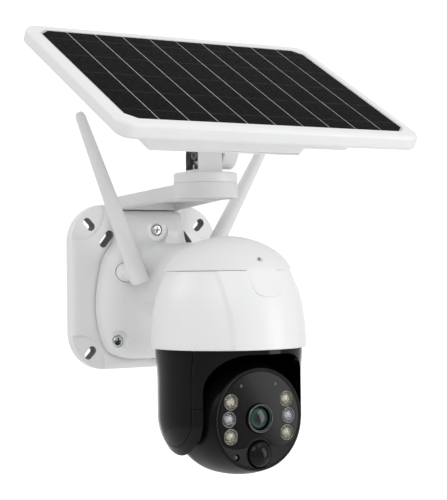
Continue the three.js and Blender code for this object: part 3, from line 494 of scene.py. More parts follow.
def cell_look():
    """Monocrystalline silicon under resin: busbars, hair-fine fingers and a faint crystalline cloud."""
    look = Look("solar_cell", Specular_IOR_Level=0.012)
    split = look.node("ShaderNodeSeparateXYZ")
    look.link(look.coords, split.inputs[0])
    silicon = look.ramp(look.noise(55, 5), [(0.3, (0.0018, 0.0018, 0.0021)), (0.7, (0.0034, 0.0034, 0.0039))])
    fingers = stripes(look, split.outputs["X"], 1.55 * MM, 0.05 * MM, 0.06 * MM)
    lined = look.mix(look.math("MULTIPLY", fingers, 0.03), silicon, (0.12, 0.12, 0.125))
    bars = stripes(look, split.outputs["Y"], BUSBARS["pitch"] * MM, 0.22 * MM, 0.12 * MM)
    look.colour(look.mix(look.math("MULTIPLY", bars, 0.24), lined, (0.16, 0.16, 0.165)))
    look.rough(look.spread(look.noise(340, 5), 0.34, 0.5))
    look.bump(look.math("ADD", look.noise(2600, 2), look.math("MULTIPLY", bars, 0.6)), 0.2, 0.04)
    return look.material


def backsheet_look():
    look = Look("cell_backsheet")
    look.colour(look.ramp(look.noise(120, 3), [(0.3, (0.6, 0.61, 0.62)), (0.7, (0.72, 0.73, 0.74))]))
    look.rough(look.spread(look.noise(500, 3), 0.3, 0.45))
    look.bump(look.noise(1800, 3), 0.2, 0.03)
    return look.material


def lens_look(y, z):
    """The front lens: a dark pupil inside coated rings of blue and green, by distance from its axis."""
    look = Look("coated_lens", Roughness=0.12, Coat_Weight=0.25, Coat_Roughness=0.03, Specular_IOR_Level=0.3)
    shift = look.node("ShaderNodeVectorMath", operation="SUBTRACT")
    look.link(look.coords, shift.inputs[0])
    shift.inputs[1].default_value = (0, y * MM, z * MM)
    size = look.node("ShaderNodeVectorMath", operation="LENGTH")
    look.link(shift.outputs[0], size.inputs[0])
    rings = look.ramp(
        look.spread(size.outputs["Value"], 0, 1, 0, 8.2 * MM),
        [(0, (0.002, 0.002, 0.003)), (0.3, (0.004, 0.004, 0.006)), (0.38, (0.012, 0.016, 0.022)),
         (0.58, (0.006, 0.024, 0.02)), (0.74, (0.02, 0.085, 0.062)), (0.86, (0.008, 0.02, 0.016)),
         (0.95, (0.03, 0.032, 0.032))],
    )
    haze = look.spread(look.noise(900, 3), 0, 0.06)
    look.colour(look.mix(haze, rings, (0.03, 0.035, 0.035)))
    look.bump(look.noise(140, 1), 0.02, 0.02)
    return look.material


def clear_look(name, tint):
    """Clear moulded lens plastic with a faint haze."""
    look = Look(name, Transmission_Weight=1.0, IOR=1.49)
    look.colour(look.ramp(look.noise(200, 2), [(0.3, tone(tint, 0.94)), (0.7, tint)]))
    look.rough(look.spread(look.noise(700, 3), 0.02, 0.07))
    return look.material


def board_look():
    look = Look("circuit_board", Coat_Weight=0.4)
    look.colour(look.ramp(look.noise(300, 5), [(0.35, (0.004, 0.04, 0.016)), (0.65, (0.01, 0.09, 0.035))]))
    look.rough(look.spread(look.noise(800, 3), 0.3, 0.55))
    look.bump(look.noise(1200, 3), 0.4, 0.06)
    return look.material


WHITE = moulded("white_plastic", (0.84, 0.842, 0.845), 0.34, 1500, 0.035, vary=0.018, speck=0.05)
WHITE_SATIN = moulded("white_satin", (0.82, 0.822, 0.825), 0.46, 1300, 0.05, vary=0.02, speck=0.06)
# painted shade: a darker grey for the inside walls of the plate's slots and of the hinge bolt's hex socket,
# standing in for the shade in those recesses
PAINTED_RECESS_SHADE = moulded("slot_and_socket_painted_shade", (0.17, 0.17, 0.172), 0.6, 1200, 0.06)
BLACK = glossy_black("black_gloss")
SATIN = moulded("black_satin", (0.0035, 0.0035, 0.0038), 0.3, 2200, 0.05, vary=0.15, shine=0.11)
TEXTURED = moulded("black_textured", (0.012, 0.012, 0.013), 0.5, 1500, 0.16, vary=0.2, shine=0.2)
STEEL = metal("steel", (0.66, 0.67, 0.68), 0.2)
# dark steel for the hinge bolt head; in the screws' cross recesses the same darker steel is painted shade
DARK_STEEL_AND_CROSS_SHADE = metal("dark_steel_and_cross_shade", (0.2, 0.2, 0.205), 0.36)
BARREL = metal("lens_barrel", (0.10, 0.10, 0.105), 0.3)
REFLECTOR = metal("lamp_reflector", (0.3, 0.285, 0.24), 0.2, 2400)
REFLECTOR_COOL = metal("lamp_reflector_cool", (0.27, 0.27, 0.3), 0.2, 2400)
PHOSPHOR = moulded("phosphor", (0.95, 0.9, 0.7), 0.18, 2600, 0.03)
DIODE = moulded("infrared_diode", (0.78, 0.79, 0.85), 0.18, 2600, 0.03)
SMOKED = moulded("smoked_window", (0.05, 0.05, 0.052), 0.2, 2600, 0.03)
RUBBER = rubbery("rubber")
CELL = cell_look()
BACKSHEET = backsheet_look()
CLEAR = clear_look("lamp_clear", (0.97, 0.965, 0.94))
NYLON = moulded("gear_nylon", (0.62, 0.6, 0.54), 0.45, 900, 0.06, vary=0.06)
WRAP = moulded("cell_wrap", (0.05, 0.17, 0.38), 0.35, 700, 0.05, vary=0.05)
TIN = metal("motor_tin", (0.46, 0.47, 0.49), 0.34)
BOARD = board_look()


# ---------------------------------------------------------------- wall plate and cover
def slot_outline(x, z, width, length, turn):
    shape = rectangle(width / 2, length / 2, width / 2 - 0.02, steps=10)
    c, s = math.cos(turn), math.sin(turn)
    return [(x + c * u - s * v, z + s * u + c * v) for u, v in shape]


def slot_tool(x, z, front, back, length, turn, depth):
    """A moulded slot that narrows towards the wall, with a softened mouth. Its walls carry a darker grey that
    is painted shade.
    """
    rings = []
    mouth = front + 0.9
    stages = ((1, back), (0, back), (-depth + 0.5, front), (-depth - 0.05, mouth), (-depth - 3, mouth))
    for y, width in stages:
        outline = slot_outline(x, z, width, length + width - front, turn)
        rings.append([(u, y, v) for u, v in outline])
    return solid("tool", skin(rings), PAINTED_RECESS_SHADE)


def wall_plate():
    low, high = PLATE_LOW, PLATE_HIGH
    half_x, half_z = (high[0] - low[0]) / 2, (high[2] - low[2]) / 2
    z = (low[2] + high[2]) / 2
    outline = rectangle(half_x, half_z, PLATE_CORNER, 0, z, steps=28)
    thick = -PLATE_FRONT
    body = prism(outline, 0, thick, "-y", low_edge=0.5, high_edge=PLATE_EDGE, steps=10)
    plate = solid("plate", body, WHITE)
    radius, floor, ease = PAD["radius"], thick - PAD["depth"], 0.7
    pad = [(0, floor), (radius, floor), (radius, thick), (radius + ease, thick),
           (radius + ease, thick + 5), (0, thick + 5)]
    pad = rounded(pad, [0, ease, ease, 0, 0, 0], closed=False, steps=5)
    for sx in (-1, 1):
        for sz in (-1, 1):
            at = (sx * PAD["centre"], 0, sz * PAD["centre"] + z)
            carve(plate, solid("tool", lathe(pad, "-y", at, 160)))
            turn = -sx * sz * math.pi / 4
            # the slot tools give the slot walls the painted recess shade
            tool = slot_tool(sx * SLOT_PITCH, sz * SLOT_PITCH, 6.1, 4.6, 10.8, turn, floor)
            carve(plate, tool, own_material=True)
        tool = slot_tool(sx * 36, 38.6, 6.1, 4.2, 14.6, sx * 0.68, thick)
        carve(plate, tool, own_material=True)
    bay = rectangle(31, 34, 1, 0, 0.5, steps=4)
    carve(plate, solid("tool", prism(bay, thick - 6, thick + 5, "-y"), WHITE))
    done(plate, WHITE, "wall_body", "white_plastic", "wall_plate")


def cover_radius(count):
    """The cover outline's distance from its centre at even angles."""
    right = smooth_line(COVER_SIDE, 200)
    full = np.concatenate([right, right[::-1] * [-1, 1]])
    angle = np.arctan2(full[:, 1] - COVER_CENTRE_Z, full[:, 0])
    reach = np.hypot(full[:, 0], full[:, 1] - COVER_CENTRE_Z)
    order = np.argsort(angle)
    at = np.linspace(-math.pi, math.pi, count, endpoint=False)
    return at, np.interp(at, angle[order], reach[order], period=TAU)


def dome_radius(z):
    points = sorted(SKIRT + CAP, key=lambda p: p[1])
    return np.interp(z, [p[1] for p in points], [p[0] for p in points])


def front_cover():
    count = 288
    angles, reach = cover_radius(count)
    cos, sin = np.cos(angles), np.sin(angles)
    power = NECK["power"]

    def shell(share, depth):
        return np.stack([cos * reach * share, np.full(count, COVER_BACK - depth),
                         COVER_CENTRE_Z + sin * reach * share], 1)

    def neck(grow, y):
        x = (NECK["half_width"] + grow) * np.sign(cos) * np.abs(cos) ** power
        z = NECK["z"] + (NECK["half_height"] + grow) * np.sign(sin) * np.abs(sin) ** power
        return np.stack([x, np.full(count, y), z], 1)

    rows = [shell(1, 0), shell(0.995, 3), shell(0.978, 6.8), shell(0.93, 11), shell(0.84, 14.2),
            shell(0.72, 16.2), neck(8.2, -28.6), neck(3.6, -30.6), neck(1.1, -34), neck(0.2, -38),
            neck(0, -44), neck(0, -60), neck(0, -78)]
    end = neck(0, 0)
    inside = dome_radius(end[:, 2]) - 1.2
    end[:, 1] = DOME_Y + np.sqrt(np.maximum(inside**2 - end[:, 0] ** 2, 1))
    end[:, 1] = np.minimum(end[:, 1], -79)
    rows.append(end)
    stack = np.array(rows)
    lines = [smooth_line(stack[:, i], 84) for i in range(count)]
    rings = [[tuple(line[k]) for line in lines] for k in range(84)]
    rings.insert(0, [(x * 0.94, y, COVER_CENTRE_Z + (z - COVER_CENTRE_Z) * 0.94) for x, y, z in rings[0]])
    cover = solid("cover", skin(rings), WHITE)
    room = [shell(0.94, -3), shell(0.94, 3), shell(0.91, 5.5), shell(0.84, 8.5), shell(0.72, 11),
            shell(0.6, 12.5), neck(2, -26.5), neck(-1.5, -31), neck(-2.4, -36), neck(-WALL, -44),
            neck(-WALL, -60), neck(-WALL, -90)]
    carve(cover, solid("tool", skin([[tuple(p) for p in row] for row in room]), WHITE))
    for key, (x, z, y) in COVER_SCREWS.items():
        wide = 9.5 if key == "top" else 8.6
        shelf = [(0, -y), (wide, -y), (wide, -y + 30), (0, -y + 30)]
        shelf = rounded(shelf, [0, 0.9, 0, 0], closed=False)
        carve(cover, solid("tool", lathe(shelf, "-y", (x, 0, z), 96)))
        seat = [(0, -y - 1.6), (5, -y - 1.6), (5, -y - 0.01), (5.5, -y + 0.4), (5.5, -y + 12), (0, -y + 12)]
        seat = rounded(seat, [0, 0.4, 0.3, 0, 0, 0], closed=False)
        carve(cover, solid("tool", lathe(seat, "-y", (x, 0, z), 64)))
    for side in ("left", "right"):
        x, y, z = JOINTS[f"antenna_{side}_swing"]
        hole = [(0, 22), (7.7, 22), (7.7, 70), (0, 70)]
        carve(cover, solid("tool", lathe(hole, "-y", (x, 0, z), 80)))
    done(cover, WHITE, "wall_body", "white_plastic", "front_cover", sharp=24)


def cross_screw(name, node, x, z, y, radius):
    """A pan-head screw with a cross recess, facing -y."""
    head = [(0, -y - 1), (radius, -y - 1), (radius, -y), (radius * 0.82, -y + 0.62), (0, -y + 0.95)]
    screw = solid(name, lathe(rounded(head, [0, 0.1, 0.5, 1.6, 0], closed=False), "-y", (x, 0, z), 64), STEEL)
    for long, wide in ((radius * 0.62, radius * 0.15), (radius * 0.15, radius * 0.62)):
        slot = rectangle(long, wide, radius * 0.1, x, z, steps=4)
        # painted shade: the cross recess walls take the darker steel
        tool = solid("tool", prism(slot, -y - 0.7, -y + 3, "-y"), DARK_STEEL_AND_CROSS_SHADE)
        carve(screw, tool, own_material=True)
    done(screw, STEEL, "wall_body", "steel", node, sharp=28)


def antenna_sockets():
    for side in ("left", "right"):
        x, y, z = JOINTS[f"antenna_{side}_swing"]
        ribs = []
        for k in range(3):
            start = 29.4 + 2.4 * k
            ribs += [(6.9, start), (6.9, start + 1.5), (6.2, start + 1.8), (6.2, start + 2.2)]
        profile = [(0, 25.6), (7.3, 25.6), (7.3, 28.8)] + ribs + [(6.2, 36.6), (0, 36.6)]
        profile = rounded(profile, [0, 0.3, 0.3] + [0.2] * len(ribs) + [0.2, 0], closed=False, steps=3)
        done(solid(f"socket_{side}", lathe(profile, "-y", (x, 0, z), 80)), WHITE, "wall_body",
             "white_plastic", f"antenna_socket_{side}", sharp=40)


def antennas():
    tail, end, base, tip = 8, 130, 7.1, 3.8
    for side, sign in (("left", -1), ("right", 1)):
        at = JOINTS[f"antenna_{side}_swing"]
        stick = [(0, -tail), (base - 0.6, -tail), (base, 1.2 - tail), (base, 9), (base - 0.25, 10.5),
                 (tip + 0.12, end - 4), (tip - 1.1, end - 0.6), (0, end)]
        stick = rounded(stick, [0, 0.6, 0.8, 2, 2, 3, 2.2, 0], closed=False, steps=6)
        matrix = Matrix.Translation(Vector(at) * MM) @ Matrix.Rotation(sign * ANTENNA_LEAN[side], 4, "Y")
        rod = solid(f"antenna_rod_{side}", lathe(stick, segments=72))
        done(rod, WHITE_SATIN, f"{side}_antenna", "white_plastic", f"antenna_{side}", sharp=40, matrix=matrix)
        grooves = []
        for k in range(4):
            h = 0.2 + 2.0 * k
            grooves += [(7.3, h), (7.3, h + 1.3), (6.5, h + 1.5), (6.5, h + 1.9)]
        hub = [(0, 0.2)] + grooves + [(6.5, 9.2), (0, 9.2)]
        hub = rounded(hub, [0] + [0.15] * len(grooves) + [0.2, 0], closed=False, steps=3)
        swivel = solid(f"antenna_swivel_{side}", lathe(hub, "y", segments=64))
        done(swivel, WHITE_SATIN, f"{side}_antenna", "white_plastic", sharp=40, matrix=matrix)


# ---------------------------------------------------------------- dome
def panel_step(angle, z):
    """How far the dome's raised front panel stands out: two soft steps that lean outwards as they rise."""
    front = (angle + math.pi / 2 + math.pi) % TAU - math.pi
    rise = (z - SKIRT[0][1]) / (SKIRT[-1][1] - SKIRT[0][1])
    edge = math.radians(29 + 14 * max(rise, 0) ** 2.2)
    band = math.radians(4.6)
    t = min(max((edge - abs(front)) / band + 0.5, 0), 1)
    return 1.15 * (t * t * (3 - 2 * t)) - 1.15


def dome():
    at = (0, DOME_Y, 0)
    outside = smooth_line(SKIRT, 70)
    inside = [(r - WALL, z) for r, z in outside[::-1]]
    loop = [tuple(p) for p in outside] + inside
    lip = 0.8
    loop = [(outside[0][0] - lip, outside[0][1])] + [
        (outside[0][0] - lip * (1 - math.sin(a)), outside[0][1] + lip * (1 - math.cos(a)))
        for a in (0.4, 0.8, 1.2)
    ] + loop[2:-1] + [(outside[0][0] - WALL, outside[0][1])]

    def shift(angle, r, h):
        wall = dome_radius(h) - r
        return panel_step(angle, h) if wall < WALL * 0.5 else 0

    skirt = solid("dome_skirt_shell", lathe(loop, "z", at, 384, shift))
    done(skirt, WHITE, "wall_body", "white_plastic", "dome_skirt", sharp=38)

    top = smooth_line(CAP, 60)
    under = smooth_line([(CAP[0][0] - WALL, CAP[0][1]), (40.2, 18.4), (34.2, 24.2), (26.6, 28.8),
                         (18.2, 32.3), (9.2, 34.7), (0, 35.6)], 40)
    profile = [tuple(p) for p in under[::-1]] + [(CAP[0][0] - 0.35, CAP[0][1])] + [tuple(p) for p in top[1:]]
    profile[0], profile[-1] = (0, 35.6), (0, CAP[-1][1])
    cap = solid("dome_cap_shell", lathe(profile, "z", at, 256))
    hole = [(0, 150), (1.5, 150), (1.5, 170), (2.3, 171), (2.3, 190), (0, 190)]
    carve(cap, solid("tool", lathe(hole, "-y", (0, 0, 21), 48)))
    done(cap, WHITE, "wall_body", "white_plastic", "dome_cap", sharp=38)
    tongue(at)
    cross_screw("cap_screw_head", "cap_screw", 0, 21, -169.9, 1.45)


def tongue(at):
    """The cap's tongue: a thin raised patch on the dome's front, thickest at its rounded foot."""
    across, down = 60, 64
    half, low, high = 12.5, -6.2, 17.5
    outer, inner = [], []
    for j in range(down + 1):
        v = j / down
        z = high + (low - high) * v
        foot = max((v - 0.62) / 0.38, 0)
        width = half * math.sqrt(max(1 - foot**2.6, 0)) + 0.02
        for i in range(across + 1):
            u = 2 * i / across - 1
            x = u * width
            edge = min((1 - abs(u)) * width / 1.6, 1) * min((1 - v) * (high - low) / 2.2, 1) * min(v * 5, 1)
            ease = edge * edge * (3 - 2 * edge)
            proud = (0.06 + 0.9 * v**3) * ease - 0.5 * (1 - ease)
            for ring, extra in ((outer, proud), (inner, -1.2)):
                r = float(dome_radius(z)) + 0.3 + extra
                ring.append((at[0] + x, at[1] - math.sqrt(r * r - x * x), z))
    row = across + 1
    count = len(outer)
    faces = []
    for j in range(down):
        for i in range(across):
            a = j * row + i
            faces.append((a, a + 1, a + row + 1, a + row))
            faces.append((count + a + row, count + a + row + 1, count + a + 1, count + a))
    rim = [j * row for j in range(down + 1)] + [down * row + i for i in range(1, row)]
    rim += [j * row + across for j in range(down - 1, -1, -1)] + [i for i in range(across - 1, 0, -1)]
    for a, b in zip(rim, rim[1:] + rim[:1]):
        faces.append((a, b, count + b, count + a))
    done(solid("dome_cap_tongue", (outer + inner, faces)), WHITE, "wall_body", "white_plastic", sharp=50)


# ---------------------------------------------------------------- yoke
def bowl(z):
    drop = max(TILT_Z - z, 0) / EAR_DROP
    return YOKE_RADIUS * math.sqrt(1 - drop**EAR_POWER)


def yoke_body(at):
    low = [(bowl(z), z) for z in np.linspace(EAR_BOTTOM, TILT_Z, 30)]
    high = smooth_line([(YOKE_RADIUS, TILT_Z), (YOKE_RADIUS, -76), (52.1, -62), (53.2, -48),
                        (53.4, YOKE_TOP)], 24)
    profile = [(0, EAR_BOTTOM)] + low + [tuple(p) for p in high[1:]] + [(0, YOKE_TOP)]
    return solid("yoke", lathe(profile, "z", at, 192), BLACK)


def arch_tool(top, axis, at):
    half, corner = ARCH["half"], ARCH["corner"]
    curve = []
    for sign in (1, -1):
        part = []
        for k in range(25):
            t = k / 24
            x = bezier(t, half, half, half - corner * 0.4, half - corner)
            z = bezier(t, top - corner, top - corner * 0.4, top, top)
            part.append((sign * x, z))
        curve += part if sign > 0 else part[::-1]
    outline = [(-half, -140), (half, -140)] + curve
    return solid("tool", prism(outline, 0, 70, axis, at))


def slab(x0, x1, y0, y1, z0, z1):
    outline = [(x0, y0), (x1, y0), (x1, y1), (x0, y1)]
    return solid("tool", prism(outline, z0, z1))


def yoke():
    at = (0, DOME_Y, 0)
    y0, y1 = DOME_Y - 90, DOME_Y + 90
    whole = yoke_body(at)
    room = solid("tool", lathe([(0, -140), (49, -140), (49, ARCH["top"]), (0, ARCH["top"])], "z", at, 192))
    carve(room, slab(-EAR_INNER, EAR_INNER, y0, y1, -150, 0), how="INTERSECT")
    carve(whole, room)
    carve(whole, arch_tool(ARCH["top"], "-y", at), arch_tool(ARCH["back_top"], "y", at))

    def part(name, *limits):
        copy = whole.copy()
        copy.data = whole.data.copy()
        copy.name = name
        bpy.context.scene.collection.objects.link(copy)
        for how, *size in limits:
            carve(copy, slab(*size), how=how)
        return copy

    inner = SIDE_SEAM - SEAM
    notch = -83
    shell = part("yoke_arch", ("INTERSECT", -inner, inner, y0, y1, notch + SEAM, 0))
    done(soften(shell, 0.8), BLACK, "pan_yoke", "black_gloss", "yoke_shell", sharp=40)
    for side, sign in (("left", -1), ("right", 1)):
        a, b = sorted((sign * (SIDE_SEAM + SEAM), sign * 60))
        cover = part(f"yoke_side_{side}", ("INTERSECT", a, b, y0, y1, -150, 0))
        done(soften(cover, 0.6), BLACK, "pan_yoke", "black_gloss", f"side_cover_{side}", sharp=40)
        a, b = sorted((sign * 20, sign * inner))
        low = part(f"yoke_bearing_{side}", ("INTERSECT", a, b, y0, y1, -150, notch - SEAM))
        done(soften(low, 0.7), BLACK, "pan_yoke", "black_satin", f"bearing_cap_{side}", sharp=40)
    bpy.data.objects.remove(whole)


# ---------------------------------------------------------------- head
def plate_outline(radius):
    """The glossy plate: a disc whose foot rises in an arch over the sensor."""
    start = math.radians(-29)
    arch = SENSOR["arch"]
    foot = math.radians(-30)
    out = []
    sweep = math.pi - 2 * start
    for k in range(73):
        a = start + sweep * k / 72
        out.append((radius * math.cos(a), radius * math.sin(a)))
    ax, az = arch * math.cos(foot), SENSOR["z"] - arch * math.sin(foot)

    def bend(p, q, r, steps=12):
        return [tuple((1 - t) ** 2 * np.array(p) + 2 * t * (1 - t) * np.array(q) + t * t * np.array(r))
                for t in np.linspace(0, 1, steps + 1)[1:-1]]

    out += bend(out[-1], (-20, -22.5), (-ax, az))
    for k in range(25):
        a = math.pi + foot - (math.pi + 2 * foot) * k / 24
        out.append((arch * math.cos(a), SENSOR["z"] + arch * math.sin(a)))
    out += bend((ax, az), (20, -22.5), out[0])
    return out


def head():
    at = (0, DOME_Y, TILT_Z)
    face = DOME_Y - FACE_Y

    def forward(x, z):
        return (x, DOME_Y, TILT_Z + z)

    outside = smooth_line([(42, 0), (41.8, 8), (41.1, 17), (39.7, 26), (37.8, 34), (36.9, 37)], 48)
    inside = [(0, 36), (33, 36), (35, 33.5), (37, 26), (38.5, 17), (39.3, 8), (39.5, 0.15)]
    rim = [(36.6, 37.9), (36.2, 38.5), (35.6, face), (35.0, face), (34.6, face - 0.45), (34.2, face - 0.5)]
    profile = inside + [(42, 0.15)] + [tuple(p) for p in outside[1:]] + rim + [(0, face - 0.5)]
    front = solid("head_barrel", lathe(profile, "-y", at, 224), SATIN)
    seat = solid("tool", prism(plate_outline(33.9), face - 1.6, face + 8, "-y", at), SATIN)
    holes = [(10.7, 0, LENS_Z), (SENSOR["radius"] + 0.9, 0, SENSOR["z"]), (2.5, -19, -26)]
    holes += [(6.0, x, z) for x, z in LAMPS]
    carve(front, seat)
    for r, x, z in holes:
        through = lathe([(0, 30), (r, 30), (r, 50), (0, 50)], "-y", forward(x, z), 64)
        carve(front, solid("tool", through, SATIN))
    bore = lathe([(0, -60), (5.4, -60), (5.4, 60), (0, 60)], "x", at, 48)
    carve(front, solid("tool", bore, SATIN))
    front.data.materials.clear()
    front.data.materials.append(SATIN)
    front.data.materials.append(TEXTURED)
    for polygon in front.data.polygons:
        if polygon.normal.y < -0.9 and polygon.center.y < (FACE_Y + 0.9) * MM:
            polygon.material_index = 1
    done(front, SATIN, "tilting_head", "black_satin", "head_front_shell", sharp=30)

    glass = prism(plate_outline(33.6), face - 1.3, face, "-y", at, high_edge=0.35)
    plate = solid("face_window", glass, BLACK)
    for r, x, z in holes[:1] + holes[3:]:
        tool = [(0, 30), (r - 0.15, 30), (r - 0.15, face - 0.25), (r + 0.1, face), (r + 0.1, 50), (0, 50)]
        carve(plate, solid("tool", lathe(tool, "-y", forward(x, z), 64)))
    for x in (-14.5, 14.5):
        dimple = [(0, face - 0.4), (1.25, face - 0.4), (1.25, face + 2), (0, face + 2)]
        tool = lathe(dimple, "-y", forward(x, 24), 32)
        carve(plate, solid("tool", tool, SMOKED), own_material=True)
    done(plate, BLACK, "tilting_head", "black_gloss", "face_plate", sharp=30)

    back = [(42 * math.cos(a), 42 * math.sin(a)) for a in np.linspace(0.0036, math.pi / 2, 40)]
    hollow = [(39.5 * math.cos(a), 39.5 * math.sin(a)) for a in np.linspace(math.pi / 2, 0.0038, 24)]
    back[-1], hollow[0] = (0, 42), (0, 39.5)
    rear = solid("head_back", lathe(hollow + back, "y", at, 160), SATIN)
    carve(rear, solid("tool", bore, SATIN))
    done(rear, SATIN, "tilting_head", "black_satin", "head_rear_shell", sharp=35)
    head_optics(face, forward)


def head_optics(face, forward):
    """The lens, the six lamps and the two sensors, set into the face."""
    lens_at = forward(0, LENS_Z)
    proud = face + 2.4
    ring = [(8.2, 29.8), (10.4, 29.8), (10.4, proud - 0.5), (9.9, proud), (9.3, proud), (9.1, proud - 1.1),
            (8.6, proud - 1.2), (8.4, 37.6), (8.2, 37.2)]
    ring = rounded(ring, [0, 0, 0.5, 0.4, 0.2, 0.3, 0.2, 0.2, 0], steps=4)
    done(solid("lens_bezel", lathe(ring, "-y", lens_at, 128)), BARREL, "tilting_head", "black_satin",
         "lens_ring", sharp=40)
    bulge = np.linspace(0.08, 1.5, 20)
    dome_line = [(7.9, 37.4)] + [(7.9 * math.cos(a), 37.4 + 2.5 * math.sin(a)) for a in bulge]
    glass = [(0, 30.5), (7.9, 30.5)] + dome_line + [(0, 39.9)]
    done(solid("lens_front", lathe(glass, "-y", lens_at, 128)), lens_look(lens_at[1] - 39, lens_at[2]),
         "tilting_head", "lens_glass", "lens_glass", sharp=50)
    names = [f"lamp_lens_{row}_{side}" for side in ("left", "right") for row in ("upper", "middle", "lower")]
    for name, (x, z) in zip(names, LAMPS):
        lamp(name, forward(x, z), face, cool="middle" in name)
    crown = [(9.4 * math.cos(a), 38.2 + 5.6 * math.sin(a)) for a in np.linspace(0, 1.5, 28)]
    profile = [(0, 36.8), (9.4, 36.8)] + crown + [(0, 43.8)]
    done(solid("sensor_window", lathe(profile, "-y", forward(0, SENSOR["z"]), 128)), BLACK, "tilting_head",
         "black_gloss", "motion_sensor_lens", sharp=50)
    tip = [(2.1 * math.cos(a), 36.6 + math.sin(a)) for a in np.linspace(0, 1.5, 8)]
    eye = [(0, 31.9), (2.1, 31.9)] + tip + [(0, 37.6)]
    done(solid("light_sensor_eye", lathe(eye, "-y", forward(-19, -26), 40)), SMOKED, "tilting_head",
         "lamp_lens", "light_sensor", sharp=40)


def lamp(node, at, face, cool):
    """A lamp: a faceted reflector cup, its chip under a bead, and a clear outer rim."""
    metal_look, chip = (REFLECTOR_COOL, DIODE) if cool else (REFLECTOR, PHOSPHOR)
    cup = [(2.2, 32), (5.7, 32), (5.7, face - 0.1), (5.3, face + 0.15), (5.0, face - 0.3), (4.5, 37.2),
           (3.6, 35.9), (2.6, 35.3), (2.2, 35.2)]
    ripple = 20

    def facets(angle, r, h):
        return 0.05 * abs(math.sin(angle * ripple / 2)) if 2.5 < r < 5.2 and h > 34 else 0

    done(solid(node + "_cup", lathe(rounded(cup, 0.2, steps=3), "-y", at, 160, facets)), metal_look,
         "tilting_head", "lamp_lens", sharp=45)
    dome_line = [(2.5 * math.cos(a), 35.4 + 2.3 * math.sin(a)) for a in np.linspace(0, 1.5, 14)]
    bead = [(0, 32), (2.5, 32)] + dome_line + [(0, 37.7)]
    done(solid(node + "_chip", lathe(bead, "-y", at, 48)), chip, "tilting_head", "lamp_lens", sharp=50)
    arc = [(4.7 * math.cos(a), 37.5 + 1.9 * math.sin(a)) for a in np.linspace(0, 1.5, 14)]
    hollow = [(4.4 * math.cos(a), 37.5 + 1.55 * math.sin(a)) for a in np.linspace(1.5, 0, 14)]
    lens = [(0, 39.05)] + hollow + arc + [(0, 39.4)]
    window = solid(node + "_window", lathe(lens, "-y", at, 64))
    done(window, CLEAR, "tilting_head", "lamp_lens", node, sharp=50)


# ---------------------------------------------------------------- arm, swivel and hinge
def arm():
    """The flat arm from the plate, its round end, and the disc that turns on it."""
    at = (0, PUCK_Y, 0)
    rings = []
    for t in np.linspace(0, 1, 24):
        y = PLATE_FRONT - 0.3 + (PUCK_Y + 3 - PLATE_FRONT) * t
        half, low, top = 29.6 - 8 * t, 61.2 + 5.5 * t, 71.6 + 6.2 * t
        section = rectangle(half, (top - low) / 2, 2.2, 0, (top + low) / 2, steps=6)
        rings.append([(x, y, z) for x, z in section])
    bar = solid("arm_bar", skin(rings))
    heel = solid("tool", prism(rectangle(29.6, 5, 1, 0, -6), 66, 71.6, low_edge=0.4, high_edge=1))
    puck = [(0, 66.5), (23.8, 66.5), (23.8, 78.0), (0, 78.0)]
    puck = rounded(puck, [0, 0.8, 0.12, 0], closed=False)
    end = solid("tool", lathe(puck, "z", at, 192))
    carve(bar, heel, end, how="UNION")
    y_wall = PLATE_FRONT - 6
    channel = [(-24.5, y_wall), (-18.5, PUCK_Y + 22), (18.5, PUCK_Y + 22), (24.5, y_wall)]
    if polygon_area(channel) < 0:
        channel.reverse()
    carve(bar, solid("tool", prism(arc_corners(channel, 3, 6), 50, 67.4)))
    well = [(9.4, 60), (20.6, 60), (20.6, 69.2), (9.4, 69.2)]
    carve(bar, solid("tool", lathe(rounded(well, [0, 0, 0.5, 0.5]), "z", at, 128)))
    seat = [(0, 60), (6, 60), (6, 69.7), (0, 69.7)]
    carve(bar, solid("tool", lathe(seat, "z", at, 64)))
    done(bar, WHITE, "wall_body", "white_plastic", "panel_arm", sharp=30)
    for k, angle in enumerate(np.linspace(0, TAU, 6, endpoint=False)):
        outline = rectangle(6.2, 0.8, 0.3, 15, 0, steps=3)
        c, s = math.cos(angle), math.sin(angle)
        outline = [(c * x - s * y, PUCK_Y + s * x + c * y) for x, y in outline]
        done(solid(f"arm_rib_{k}", prism(outline, 67, 69.8)), WHITE, "wall_body", "white_plastic", sharp=40)
    disc = [(0, 78.12), (23.8, 78.12), (23.8, 85.8), (0, 85.8)]
    disc = rounded(disc, [0, 0.12, 2.1, 0], closed=False, steps=8)
    turning = solid("swivel_puck", lathe(disc, "z", at, 192))
    done(turning, WHITE, "panel_swivel", "white_plastic", "swivel_disc")
    hinge()


def polygon_area(points):
    """The signed area of an outline, above zero when it runs anticlockwise."""
    return sum(a[0] * b[1] - b[0] * a[1] for a, b in zip(points, points[1:] + points[:1])) / 2


def upright(half, low, centre_y, centre_z, steps=28):
    """A tab seen along x: straight sides and a round top about the hinge axis."""
    out = [(centre_y - half, low), (centre_y + half, low)]
    for k in range(steps + 1):
        a = math.pi * k / steps
        out.append((centre_y + half * math.cos(a), centre_z + half * math.sin(a)))
    return out


